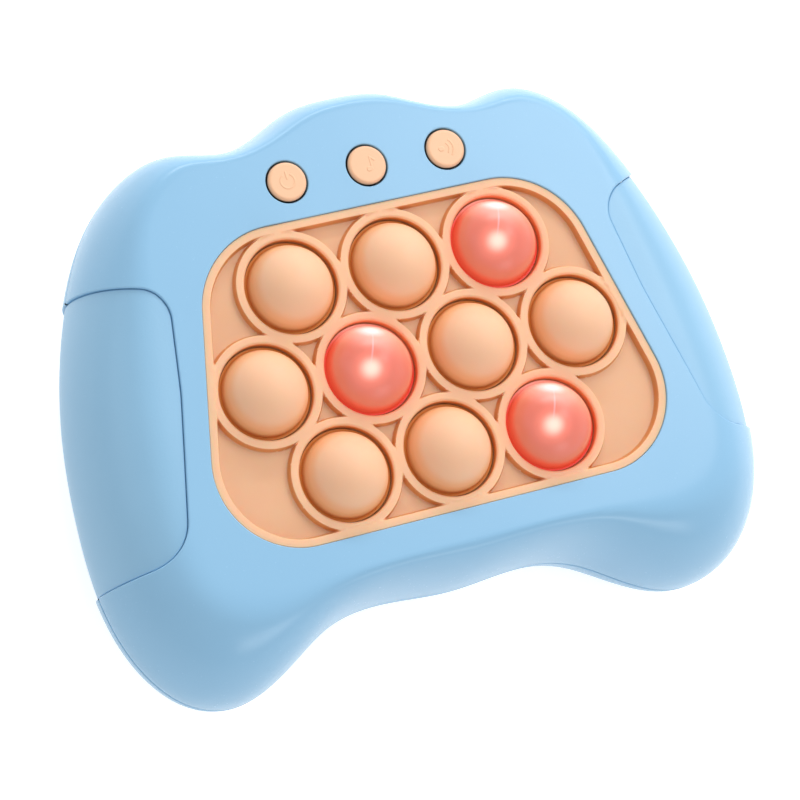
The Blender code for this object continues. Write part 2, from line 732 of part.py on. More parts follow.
def make_rear_shell():
    shell = shell_half("rear_shell", back_rings, blue_shell)
    inside_back = WALL / 2
    add(shell, box("box walls", box_corner(-1, -1, WALL, inside_back),
                   box_corner(1, 1, WALL, BOX_CEILING + WALL)))
    screw_x, screw_y = door_screw_place()
    add(shell, box("tongue walls",
                   (BOX_HALF_LENGTH, screw_y - DOOR_TONGUE_HALF - WALL, inside_back),
                   (screw_x + DOOR_SCREW_FROM_TIP + WALL, screw_y + DOOR_TONGUE_HALF + WALL,
                    DOOR_BOSS_HEIGHT)))
    screws = both_sides(CASE_SCREWS)
    add(shell, held_inside(rods("back bosses", BACK_BOSS_RADIUS, 0, BOSS_MEETING_HEIGHT - FIT / 2,
                                HOLE_SIDES, screws)))
    add(shell, rods("pillars", PILLAR_RADIUS, inside_back, BOARD_HEIGHT - FIT, SMALL_SIDES,
                    both_sides(PILLARS)))
    ring_outer = SPEAKER_RADIUS + FIT + SPEAKER_RING_WALL
    ring_top = WALL + SPEAKER_RING_HEIGHT
    add(shell, turned("speaker ring", [
        (SPEAKER_RADIUS + FIT, inside_back), (ring_outer, inside_back),
        (ring_outer, ring_top), (SPEAKER_RADIUS + FIT, ring_top),
    ], HOLE_SIDES, place=(0, SPEAKER_ABOVE_CENTRE, 0)))
    battery_box_cuts(shell)
    cut(shell, rods("back sinks", SCREW_HEAD_RADIUS + FIT, -OVERRUN, SCREW_SINK, HOLE_SIDES,
                    screws))
    cut(shell, rods("back bores", SCREW_RADIUS + FIT, -OVERRUN, BOSS_MEETING_HEIGHT + OVERRUN,
                    SMALL_SIDES, screws))
    cut(shell, rods("door screw bore", DOOR_SCREW_RADIUS + DOOR_SCREW_GAP, -OVERRUN,
                    DOOR_BOSS_HEIGHT + OVERRUN, SMALL_SIDES, [(screw_x, screw_y)]))
    cut(shell, rods("grille holes", GRILLE_HOLE_RADIUS, -OVERRUN, WALL + OVERRUN, SMALL_SIDES,
                    grille_places()))
    for side in (1, -1):
        cut(shell, prism(f"back grip opening {side}", grip_outline(side, 0), -OVERRUN, BODY_DEPTH))
    return shell


def make_bubble_pad():
    """The pad: a floor with a rim inside the window, a flange behind it and a ring per bubble."""
    pad = prism("bubble_pad", window_outline(PAD_FLANGE), PAD_BOTTOM, SHELL_CEILING - FIT,
                peach_silicone)
    rim_top = BODY_DEPTH - RIM_BELOW_FACE
    add(pad, prism("pad rim", window_outline(-FIT), PAD_BOTTOM + PAD_SKIN / 2, rim_top))
    cut(pad, prism("pad pocket", window_outline(-FIT - RIM_WIDTH), FLOOR_TOP, rim_top + OVERRUN))
    foot = FLOOR_TOP - PAD_SKIN / 2
    for index, place in enumerate(grid_places()):
        add(pad, rods(f"pad ring {index}", RING_OUTER_RADIUS, foot, RING_TOP, BUBBLE_SIDES,
                      [place]))
    cut(pad, rods("pad bores", RING_INNER_RADIUS, PAD_BOTTOM - OVERRUN, RING_TOP + OVERRUN,
                  BUBBLE_SIDES, grid_places()))
    return pad


def dome_points(sphere, centre_height, lowest_radius, steps):
    """(radius, height) points from the apex down a sphere to the lowest radius."""
    last = math.asin(min(lowest_radius / sphere, 1))
    points = []
    for step in range(steps + 1):
        angle = last * step / steps
        points.append((sphere * math.sin(angle), centre_height + sphere * math.cos(angle)))
    return points


def bubble_profile():
    """The dome, its foot and its hollow, with heights from the groove floor."""
    centre = DOME_HEIGHT - DOME_SPHERE
    foot_bottom = PAD_BOTTOM - GROOVE_FLOOR
    outer = dome_points(DOME_SPHERE, centre, BUBBLE_RADIUS, DOME_STEPS)
    inner_radius = BUBBLE_RADIUS - BUBBLE_SKIN
    inner = dome_points(DOME_SPHERE - BUBBLE_SKIN, centre, inner_radius, HOLLOW_STEPS)
    foot = [(FOOT_RADIUS, 0), (FOOT_RADIUS, foot_bottom), (inner_radius, foot_bottom)]
    return outer + foot + inner[::-1]


def make_bubbles():
    """Ten bubbles, each with its light cup standing in its hollow."""
    centre = BUBBLE_APEX - DOME_SPHERE
    hollow = DOME_SPHERE - BUBBLE_SKIN
    cup_top = centre + math.sqrt(hollow**2 - CUP_RADIUS**2) - FIT - GROOVE_FLOOR
    cup_bottom = CUP_BOTTOM - GROOVE_FLOOR
    cup_profile = [
        (0, cup_top), (CUP_RADIUS, cup_top), (CUP_RADIUS, cup_bottom), (CUP_BORE, cup_bottom),
        (CUP_BORE, cup_top - CUP_CROWN), (0, cup_top - CUP_CROWN),
    ]
    lit = (2, 4, 9)
    for index, place in enumerate(grid_places()):
        finish = red_silicone if index in lit else peach_silicone
        bubble = turned(f"bubble_{index + 1:02d}", bubble_profile(), BUBBLE_SIDES, finish,
                        (*place, GROOVE_FLOOR))
        cup = turned(f"light_cup_{index + 1:02d}", cup_profile, CUP_SIDES, clear_plastic)
        cup.parent = bubble


def make_leds():
    for index, place in enumerate(grid_places()):
        low = BOARD_FACE + FIT
        shoulder = low + LED_HEIGHT - LED_RADIUS
        lens = dome_points(LED_RADIUS, shoulder, LED_RADIUS, HOLLOW_STEPS)
        turned(f"led_{index + 1:02d}", lens + [(LED_RADIUS, low), (0, low)], CUP_SIDES,
               clear_plastic, (*place, 0))


def make_pad_frame():
    """The plate that clamps the pad, with a leg over each pin and a hole per bubble."""
    frame = prism("pad_frame", window_outline(FRAME_MARGIN), FRAME_BOTTOM, FRAME_TOP,
                  white_plastic)
    add(frame, rods("frame legs", LEG_RADIUS, BOARD_FACE + FIT, FRAME_TOP - FIT, SMALL_SIDES,
                    pin_places()))
    cut(frame, rods("frame holes", FOOT_RADIUS + FIT, FRAME_BOTTOM - OVERRUN, FRAME_TOP + OVERRUN,
                    HOLE_SIDES, grid_places()))
    cut(frame, rods("frame pin holes", PIN_RADIUS + FIT, BOARD_FACE - OVERRUN,
                    FRAME_TOP + OVERRUN, SMALL_SIDES, pin_places()))
    return frame


def make_circuit_board():
    corners = [
        (-BOARD_BOTTOM_HALF, -BOARD_BOTTOM), (BOARD_BOTTOM_HALF, -BOARD_BOTTOM),
        (BOARD_TOP_HALF, BOARD_TOP), (TAB_HALF, BOARD_TOP), (TAB_HALF, TAB_TOP),
        (-TAB_HALF, TAB_TOP), (-TAB_HALF, BOARD_TOP), (-BOARD_TOP_HALF, BOARD_TOP),
    ]
    radii = [BOARD_CORNER, BOARD_CORNER, BOARD_CORNER, 0, BOARD_CORNER, BOARD_CORNER, 0,
             BOARD_CORNER]
    board = prism("circuit_board", rounded_outline(corners, radii), BOARD_HEIGHT, BOARD_FACE,
                  board_laminate)
    cut(board, rods("board pin holes", PIN_RADIUS + FIT, BOARD_HEIGHT - OVERRUN,
                    BOARD_FACE + OVERRUN, SMALL_SIDES, pin_places()))
    return board


def make_buttons():
    """Three caps with a flange behind the shell and a stem down to a rubber boot."""
    flange_top = SHELL_CEILING - FIT
    flange_low = FRAME_TOP + BUTTON_TRAVEL + FIT
    boot_low = BOARD_FACE + FIT
    boot_top = boot_low + BOOT_HEIGHT
    cap_top = BODY_DEPTH + BUTTON_PROUD
    cap = [
        (0, cap_top), (BUTTON_RADIUS - BUTTON_EDGE, cap_top),
        (BUTTON_RADIUS, cap_top - BUTTON_EDGE), (BUTTON_RADIUS, flange_top),
        (BUTTON_FLANGE_RADIUS, flange_top),
        (BUTTON_FLANGE_RADIUS, flange_low), (STEM_RADIUS, flange_low),
        (STEM_RADIUS, boot_top + FIT), (0, boot_top + FIT),
    ]
    boot = [
        (0, boot_top), (BOOT_TOP_RADIUS, boot_top),
        (BOOT_TOP_RADIUS + BOOT_SKIRT, boot_low + BOOT_SKIRT),
        (BOOT_RADIUS, boot_low + BOOT_SKIRT), (BOOT_RADIUS, boot_low), (0, boot_low),
    ]
    for name, place in zip(("left", "middle", "right"), button_places()):
        turned(f"{name}_button", cap, HOLE_SIDES, peach_plastic, (*place, 0))
        turned(f"{name}_button_boot", boot, CUP_SIDES, grey_rubber, (*place, 0))


def make_speaker():
    low = WALL + FIT
    turned("speaker", [
        (0, low), (SPEAKER_RADIUS, low), (SPEAKER_RADIUS, low + SPEAKER_RIM),
        (MAGNET_RADIUS, low + SPEAKER_RIM + SPEAKER_RIM), (MAGNET_RADIUS, low + SPEAKER_HEIGHT),
        (0, low + SPEAKER_HEIGHT),
    ], HOLE_SIDES, black_paper, (0, SPEAKER_ABOVE_CENTRE, 0))


def make_battery_door():
    """The door: a plate with a tongue for its screw and two hooks that turn in their slots."""
    edge = DOOR_LEDGE - FIT
    hinge = (-BOX_HALF_LENGTH - edge, -BOX_BELOW_CENTRE, DOOR_RECESS)
    door = box("battery_door", box_corner(-1, -1, edge, DOOR_RECESS),
               box_corner(1, 1, edge, DOOR_TOP), blue_shell)
    screw_x, screw_y = door_screw_place()
    add(door, box("door tongue", (BOX_HALF_LENGTH, screw_y - DOOR_TONGUE_HALF, DOOR_RECESS),
                  (screw_x + DOOR_SCREW_FROM_TIP, screw_y + DOOR_TONGUE_HALF, DOOR_TOP)))
    root = FIT - BOX_HALF_LENGTH
    tip = -BOX_HALF_LENGTH - edge - HOOK_REACH
    for index, y in enumerate(hook_places()):
        low = y - HOOK_HALF_WIDTH
        high = y + HOOK_HALF_WIDTH
        add(door, box(f"hook post {index}", (root, low, DOOR_THICKNESS / 2),
                      (root + HOOK_ROOT, high, HOOK_BOTTOM + HOOK_THICKNESS)))
        add(door, box(f"hook finger {index}", (tip, low, HOOK_BOTTOM),
                      (root + HOOK_ROOT / 2, high, HOOK_BOTTOM + HOOK_THICKNESS)))
    cut(door, rods("door screw sink", DOOR_SCREW_HEAD_RADIUS + FIT, -OVERRUN,
                   DOOR_RECESS + DOOR_SCREW_SINK, HOLE_SIDES, [(screw_x, screw_y)]))
    cut(door, rods("door screw hole", DOOR_SCREW_RADIUS + FIT, -OVERRUN, DOOR_TOP + OVERRUN,
                   SMALL_SIDES, [(screw_x, screw_y)]))
    pivot = bpy.data.objects.new("battery door hinge", None)
    bpy.context.scene.collection.objects.link(pivot)
    pivot.location = hinge
    pivot_inverse = Matrix.Translation(hinge).inverted()
    door.parent = pivot
    door.matrix_parent_inverse = pivot_inverse
    seat = DOOR_RECESS + DOOR_SCREW_SINK - FIT
    screw = turned("battery_door_screw", [
        (0, seat + DOOR_SCREW_LENGTH), (DOOR_SCREW_RADIUS, seat + DOOR_SCREW_LENGTH),
        (DOOR_SCREW_RADIUS, seat), (DOOR_SCREW_HEAD_RADIUS, seat),
        (DOOR_SCREW_HEAD_RADIUS, seat - DOOR_SCREW_HEAD), (0, seat - DOOR_SCREW_HEAD),
    ], SMALL_SIDES, steel, (screw_x, screw_y, 0))
    screw.parent = pivot
    screw.matrix_parent_inverse = pivot_inverse


def battery_rows():
    middle = (BATTERY_COUNT - 1) / 2
    return [BATTERY_SPACING * (middle - row) - BOX_BELOW_CENTRE for row in range(BATTERY_COUNT)]


def make_batteries():
    """Cells in alternate directions, each turned so that its length lies along X."""
    half = BATTERY_LENGTH / 2
    profile = [
        (0, -half), (BATTERY_RADIUS, -half), (BATTERY_RADIUS, half - BATTERY_NUB),
        (BATTERY_NUB_RADIUS, half - BATTERY_NUB), (BATTERY_NUB_RADIUS, half), (0, half),
    ]
    for row, y in enumerate(battery_rows()):
        cell = turned(f"battery_{row + 1}", profile, HOLE_SIDES, battery_sleeve,
                      (0, y, BATTERY_AXIS))
        cell.rotation_euler = (0, ROLL_MIDDLE if row % 2 == 0 else -ROLL_MIDDLE, 0)


def make_contact(name, side, rows):
    """A spring plate at one end of the box with a cone to each cell that it touches."""
    wall = BOX_HALF_LENGTH - FIT
    face = wall - CONTACT_THICKNESS
    half = CONTACT_HALF_WIDTH
    near, far = sorted((side * face, side * wall))
    low = (near, min(rows) - half, CONTACT_BOTTOM)
    high = (far, max(rows) + half, BOX_CEILING - FIT)
    contact = box(name, low, high, steel)
    reach = face + CONTACT_THICKNESS / 2 - BATTERY_LENGTH / 2 - FIT
    for y in rows:
        cone = turned(f"{name} cone {y:.4f}", [
            (0, reach), (CONTACT_TIP_RADIUS, reach), (CONTACT_CONE_RADIUS, 0), (0, 0),
        ], SMALL_SIDES, place=(side * (face + CONTACT_THICKNESS / 2), y, BATTERY_AXIS))
        cone.rotation_euler = (0, -side * ROLL_MIDDLE, 0)
        add(contact, cone)


def make_contacts():
    rows = battery_rows()
    make_contact("right_end_terminal", 1, rows[:1])
    make_contact("right_end_bridge", 1, rows[1:])
    make_contact("left_end_bridge", -1, rows[:-1])
    make_contact("left_end_terminal", -1, rows[-1:])


def wire(name, start, end, sway, finish):
    """A lead that rises from start to end with a soft bend to one side."""
    path = bpy.data.curves.new(name, "CURVE")
    path.dimensions = "3D"
    path.bevel_depth = WIRE_RADIUS
    path.bevel_resolution = 1
    path.use_fill_caps = True
    spline = path.splines.new("POLY")
    spline.points.add(WIRE_STEPS)
    for step in range(WIRE_STEPS + 1):
        t = step / WIRE_STEPS
        ease = t * t * (3 - 2 * t)
        bend = sway * math.sin(math.pi * t) ** 4
        x = start[0] + (end[0] - start[0]) * ease + bend
        y = start[1] + (end[1] - start[1]) * ease
        z = start[2] + (end[2] - start[2]) * t
        spline.points[step].co = (x, y, z, 1)
    path.materials.append(finish(name))
    made = bpy.data.objects.new(name, path)
    bpy.context.scene.collection.objects.link(made)


def make_wires():
    low = BOX_CEILING + FIT
    high = BOARD_HEIGHT - FIT
    right, left = wire_places()
    wire("battery_wire_red", (*right, low), (*right, high), WIRE_SWAY, red_wire)
    wire("battery_wire_black", (*left, low), (*left, high), -WIRE_SWAY, black_wire)
    speaker_top = WALL + FIT + SPEAKER_HEIGHT + FIT
    wire("speaker_cable", (0, SPEAKER_ABOVE_CENTRE, speaker_top), (0, SPEAKER_ABOVE_CENTRE, high),
         WIRE_SWAY, black_wire)


def make_case_screws():
    seat = SCREW_SINK - FIT
    tip = BOSS_MEETING_HEIGHT + SCREW_BORE_DEPTH - SCREW_TIP_GAP
    profile = [
        (0, tip), (SCREW_RADIUS, tip), (SCREW_RADIUS, seat),
        (SCREW_HEAD_RADIUS, seat), (SCREW_HEAD_RADIUS, seat - SCREW_HEAD), (0, seat - SCREW_HEAD),
    ]
    for index, place in enumerate(both_sides(CASE_SCREWS)):
        turned(f"case_screw_{index + 1}", profile, SMALL_SIDES, steel, (*place, 0))


def main():
    for leftover in list(bpy.data.objects):
        bpy.data.objects.remove(leftover, do_unlink=True)
    make_front_shell()
    make_rear_shell()
    make_grip("right_grip", 1)
    make_grip("left_grip", -1)
    make_bubble_pad()
    make_bubbles()
    make_leds()
    make_pad_frame()
    make_circuit_board()
    make_buttons()
    make_speaker()
    make_battery_door()
    make_batteries()
    make_contacts()
    make_wires()
    make_case_screws()


main()
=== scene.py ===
# %% [markdown]
# # An electronic bubble pop game
#
# The game is a light blue case shaped like a game controller. A peach silicone pad shows through
# a window in its face, with ten domed bubbles that press in, and three of them glow red. The
# solids come from a CAD model. This lesson gives them the curved surfaces, soft edges and
# finishes that the eye expects. Every shape is worked out in millimetres with numpy and is
# turned into metres when it becomes a mesh.

import json
import math

import bpy
import numpy as np
from mathutils.geometry import delaunay_2d_cdt
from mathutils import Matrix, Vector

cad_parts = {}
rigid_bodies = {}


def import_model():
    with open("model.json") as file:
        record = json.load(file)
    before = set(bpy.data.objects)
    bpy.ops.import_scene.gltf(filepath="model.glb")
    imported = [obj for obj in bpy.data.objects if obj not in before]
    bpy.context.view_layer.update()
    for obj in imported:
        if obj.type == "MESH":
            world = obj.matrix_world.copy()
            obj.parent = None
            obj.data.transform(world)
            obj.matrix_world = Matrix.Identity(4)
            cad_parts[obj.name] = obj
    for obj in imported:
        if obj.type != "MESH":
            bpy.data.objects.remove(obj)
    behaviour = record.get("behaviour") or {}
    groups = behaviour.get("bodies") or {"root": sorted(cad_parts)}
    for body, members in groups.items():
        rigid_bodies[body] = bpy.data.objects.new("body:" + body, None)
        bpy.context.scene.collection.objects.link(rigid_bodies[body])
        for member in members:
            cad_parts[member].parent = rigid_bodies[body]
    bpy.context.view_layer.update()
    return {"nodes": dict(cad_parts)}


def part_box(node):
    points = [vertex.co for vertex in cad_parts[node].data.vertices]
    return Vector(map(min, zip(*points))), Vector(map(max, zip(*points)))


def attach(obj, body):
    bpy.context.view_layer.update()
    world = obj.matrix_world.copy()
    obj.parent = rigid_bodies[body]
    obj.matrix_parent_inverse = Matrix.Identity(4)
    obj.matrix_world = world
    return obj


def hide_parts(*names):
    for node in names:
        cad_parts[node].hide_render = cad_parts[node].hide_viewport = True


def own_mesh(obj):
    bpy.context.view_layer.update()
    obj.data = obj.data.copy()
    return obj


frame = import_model()
MM = 0.001

# %% [markdown]
# ## The camera
#
# The game lies on its back and the camera looks down on it from the lower left, with a long lens.
# A long lens from far away keeps the two ends of the case nearly the same size, as in a product
# photograph.

# %% Camera
SENSOR_MM, LENS_MM = 36.0, 147.39
CAMERA_PLACE, CAMERA_TURN = (-0.23643, -0.10331, 0.63426), (14.155, -17.694, -17.249)
FARTHEST_SEEN = 20.0


def new_object(name, data):
    """An object that shows the data, put in the scene."""
    thing = bpy.data.objects.new(name, data)
    bpy.context.scene.collection.objects.link(thing)
    return thing


camera_data = bpy.data.cameras.new("long lens")
camera_data.sensor_width, camera_data.lens = SENSOR_MM, LENS_MM
camera_data.clip_end = FARTHEST_SEEN
camera = new_object("camera", camera_data)
camera.location = CAMERA_PLACE
camera.rotation_euler = [math.radians(turn) for turn in CAMERA_TURN]
bpy.context.scene.camera = camera
print("camera height in metres:", round(camera.location.z, 3))

# %% [markdown]
# ## Small tools for arrays
#
# A point or a direction is one row of an array. The shapes below use these few functions all the
# time, next to numpy's own.

# %% Array helpers
QUARTER = math.pi / 2


def unit(rows):
    """Each row scaled to a length of 1."""
    return rows / np.linalg.norm(rows, axis=1, keepdims=True)


def left_of(rows):
    """Each direction in plan, turned a quarter to the left."""
    return np.column_stack([-rows[:, 1], rows[:, 0]])


def around(loop):
    """The way from the point before to the point after, for each point of a closed loop."""
    return np.roll(loop, -1, axis=0) - np.roll(loop, 1, axis=0)


def grid(first, second):
    """Every pair of one value from the first and one from the second."""
    return np.column_stack([values.ravel() for values in np.meshgrid(first, second)])


def smooth(t):
    """0 below 0, 1 above 1, and between them the cubic 3 t^2 - 2 t^3."""
    t = np.clip(t, 0, 1)
    return t * t * (3 - 2 * t)


print("halfway up the smooth step:", smooth(0.5))

# %% [markdown]
# ## From arrays to a mesh
#
# Each piece is made of sheets. A sheet is three arrays: points, the surface normal at each point,
# and triangles. Most renderers guess normals from the triangles, which dents a smooth surface
# wherever the triangles are long and thin. Here the normals come from the formula of the surface,
# so they are handed to the mesh as they are.

# %% Mesh builder
SAME_POINT_MM, SAME_NORMAL, OWN_PLAN_MM = 1e-4, 0.05, 24.0


def join_sheets(sheets):
    """One sheet out of several. Points that coincide become one, and loose ones are left out."""
    points = np.concatenate([sheet[0] for sheet in sheets])
    normals = np.concatenate([sheet[1] for sheet in sheets])
    starts = np.cumsum([0] + [len(sheet[0]) for sheet in sheets[:-1]])
    triangles = np.concatenate([sheet[2] + start for sheet, start in zip(sheets, starts)])
    key = np.round(np.hstack([points / SAME_POINT_MM, normals / SAME_NORMAL])).astype(np.int64)
    _, first, back = np.unique(key, axis=0, return_index=True, return_inverse=True)
    triangles = back.reshape(-1)[triangles]
    a, b, c = triangles.T
    triangles = triangles[(a != b) & (b != c) & (a != c)]
    used, triangles = np.unique(triangles, return_inverse=True)
    return points[first][used], normals[first][used], triangles.reshape(-1, 3)


def face_outward(points, normals, triangles):
    """Turns each triangle so that it faces the same way as the normals at its corners."""
    a, b, c = (points[triangles[:, k]] for k in range(3))
    facing = np.cross(b - a, c - a)
    wanted = normals[triangles].sum(axis=1)
    backwards = (facing * wanted).sum(axis=1) < 0
    triangles = triangles.copy()
    triangles[backwards] = triangles[backwards][:, ::-1]
    return triangles


def make_piece(name, sheets, material, body, replaced):
    """A mesh object from sheets in millimetres, riding on a CAD body in place of CAD nodes."""
    points, normals, triangles = join_sheets(sheets)
    triangles = face_outward(points, normals, triangles)
    mesh = bpy.data.meshes.new(name)
    mesh.vertices.add(len(points))
    mesh.vertices.foreach_set("co", (points * MM).astype(np.float32).ravel())
    mesh.loops.add(triangles.size)
    mesh.loops.foreach_set("vertex_index", triangles.astype(np.int32).ravel())
    mesh.polygons.add(len(triangles))
    mesh.polygons.foreach_set("loop_start", np.arange(0, triangles.size, 3, dtype=np.int32))
    mesh.update(calc_edges=True)
    mesh.validate()
    mesh.shade_smooth()
    mesh.normals_split_custom_set_from_vertices(normals.astype(np.float32))
    mesh.materials.append(material)
    piece = new_object(name, mesh)
    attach(piece, body)
    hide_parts(*replaced)
    print(f"{name}: {len(points)} points, {len(triangles)} triangles")
    return piece


def add_plan_uv(piece, middle):
    """A UV map of the piece's own plan: 0.5 on its axis, and OWN_PLAN_MM to the unit."""
    mesh = piece.data
    corner = np.empty(len(mesh.loops), np.int32)
    mesh.loops.foreach_get("vertex_index", corner)
    places = np.empty(len(mesh.vertices) * 3, np.float32)
    mesh.vertices.foreach_get("co", places)
    plan = places.reshape(-1, 3)[:, :2] / MM - np.array(middle)
    uv = mesh.uv_layers.new(name="own plan")
    uv.data.foreach_set("uv", (0.5 + plan[corner] / OWN_PLAN_MM).astype(np.float32).ravel())


print("points closer than this become one, mm:", SAME_POINT_MM)

# %% [markdown]
# ## Materials
#
# Colours are written as the hex values that a paint program shows. Blender works in linear light,
# so one function turns them over. A second small function adds a node with its settings and its
# links, and everything below is built from it.

# %% Colour and node helpers
def linear(code):
    """An sRGB hex colour in linear light, opaque: a short straight part, then a power."""
    parts = [int(code[k:k + 2], 16) / 255 for k in (1, 3, 5)]
    return [p / 12.92 if p <= 0.04045 else ((p + 0.055) / 1.055) ** 2.4 for p in parts] + [1.0]


def add(holder, kind, settings, *links):
    """Adds a node. Settings are attributes or input values; a link is (input, node, output)."""
    node = holder.node_tree.nodes.new("ShaderNode" + kind)
    for key, value in settings.items():
        if isinstance(value, str) and value.startswith("#"):
            value = linear(value)
        if isinstance(key, int) or not hasattr(node, key):
            node.inputs[key].default_value = value
        else:
            setattr(node, key, value)
    for here, source, output in links:
        holder.node_tree.links.new(source.outputs[output], node.inputs[here])
    return node


def with_stops(node, stops, interpolation="EASE"):
    """The same ramp node with hex colours at the given shares."""
    ramp = node.color_ramp
    ramp.interpolation = interpolation
    while len(ramp.elements) < len(stops):
        ramp.elements.new(0.5)
    for element, (share, code) in zip(ramp.elements, stops):
        element.position, element.color = share, linear(code)
    return node


def new_material(name):
    """An empty material and its coordinate node."""
    material = bpy.data.materials.new(name)
    material.use_nodes = True
    material.node_tree.nodes.clear()
    return material, add(material, "TexCoord", {})


def skin_grain(material, place, size_mm, depth_mm, rough=0.5, strength=1.0):
    """The fine unevenness of a moulded skin: a noise, and the bump that it makes."""
    noise = add(material, "TexNoise", {"Scale": 1 / (size_mm * MM), "Detail": 2.0,
                                       "Roughness": rough}, ("Vector", place, "Object"))
    return noise, add(material, "Bump", {"Strength": strength, "Distance": depth_mm * MM},
                      ("Height", noise, "Fac"))


def finished(material, settings, *links):
    """The material, closed with its shader and its output."""
    shader = add(material, "BsdfPrincipled", settings, *links)
    add(material, "OutputMaterial", {}, ("Surface", shader, "BSDF"))
    return material


print("mid grey in linear light:", round(linear("#808080")[0], 3))

# %% [markdown]
# ### Moulded plastic
#
# The case is injection-moulded ABS with a fine satin texture etched into the mould. Light spreads
# softly on it, so its highlights are broad with a slightly brighter core. Two layers of noise
# stand for it: a cloudy one of some 25 mm for the unevenness of the pigment, and one of 0.6 mm for
# the etched grain. The real grain is near 0.1 mm, which is too fine to show at this distance, so
# it is drawn coarser.

# %% ABS material
CLOUD_MM, SHADE_FADE_MM = 25, 0.5


def moulded_plastic(name, colour, deeper, roughness, grain_mm, depth_mm, shine=0.5,
                    shade_below_mm=None):
    """Satin plastic: two close shades mixed by a cloudy noise, and a grain in the bump.

    Shine is how much it mirrors, 0.5 for bare plastic. Below the given height the colour is mixed
    towards near black, as painted shade for the shade down in a gap.
    """
    material, place = new_material(name)
    cloud = add(material, "TexNoise", {"Scale": 1 / (CLOUD_MM * MM), "Detail": 3.0},
                ("Vector", place, "Object"))
    shade = add(material, "Mix", {"data_type": "RGBA", 6: colour, 7: deeper}, (0, cloud, "Fac"))
    # Painted shade: below the given height the colour fades towards near black #241A1C, for the
    # shade down in a gap.
    if shade_below_mm:
        parts = add(material, "SeparateXYZ", {}, ("Vector", place, "Object"))
        depth = add(material, "MapRange", {"From Min": shade_below_mm * MM,
                                           "From Max": (shade_below_mm - SHADE_FADE_MM) * MM},
                    ("Value", parts, "Z"))
        shade = add(material, "Mix", {"data_type": "RGBA", 7: "#241A1C"}, (0, depth, "Result"),
                    (6, shade, 2))
    grain, bump = skin_grain(material, place, grain_mm, depth_mm, rough=0.6)
    rough = add(material, "MapRange", {"To Min": roughness - 0.04, "To Max": roughness + 0.05},
                ("Value", grain, "Fac"))
    return finished(material, {"IOR": 1.53, "Specular IOR Level": shine}, ("Base Color", shade, 2),
                    ("Roughness", rough, "Result"), ("Normal", bump, "Normal"))


case_plastic = moulded_plastic("satin moulded ABS, light blue", "#97C8EA", "#92C4E7",
                               roughness=0.25, grain_mm=0.6, depth_mm=0.0022, shine=0.33)
grip_plastic = moulded_plastic("grained moulded ABS, light blue", "#96C7E8", "#8FC0E1",
                               roughness=0.35, grain_mm=0.6, depth_mm=0.016)
# The peach caps take painted shade low on their sides, below 36.9 mm, for the dark gap round them.
button_plastic = moulded_plastic("satin moulded ABS, peach, with painted shade", "#FBC8A0", "#F8C198",
                                 roughness=0.38, grain_mm=0.5, depth_mm=0.003, shade_below_mm=36.9)
print("case finishes:", case_plastic.name, "and", grip_plastic.name)

# %% [markdown]
# ### Silicone
#
# The pad and the bubbles are moulded silicone rubber. Light goes a few millimetres into it, so its
# shadows turn warm and its edges glow. Subsurface scattering gives that. Shade is painted into
# the colour as well: a deeper, darker orange low down in the grooves and pockets, and on the pad
# a painted shade of orange on the sloping sides of the rings and the rim. The painted shade
# follows the height on the piece, and on the pad also how sharply the surface slopes.

# %% Silicone material
SKIN_MM, SKIN_DEPTH_MM, SILICONE_CLOUD_MM, SILICONE_IOR = 0.8, 0.003, 9, 1.41
# How far round a lit bubble the pad takes up its painted red glow, and how strong that painted glow
# is at most.
GLOW_STARTS_MM, GLOW_ENDS_MM, GLOW_MOST = 9.0, 12.4, 0.28
LIT_NUMBERS = ("03", "05", "10")


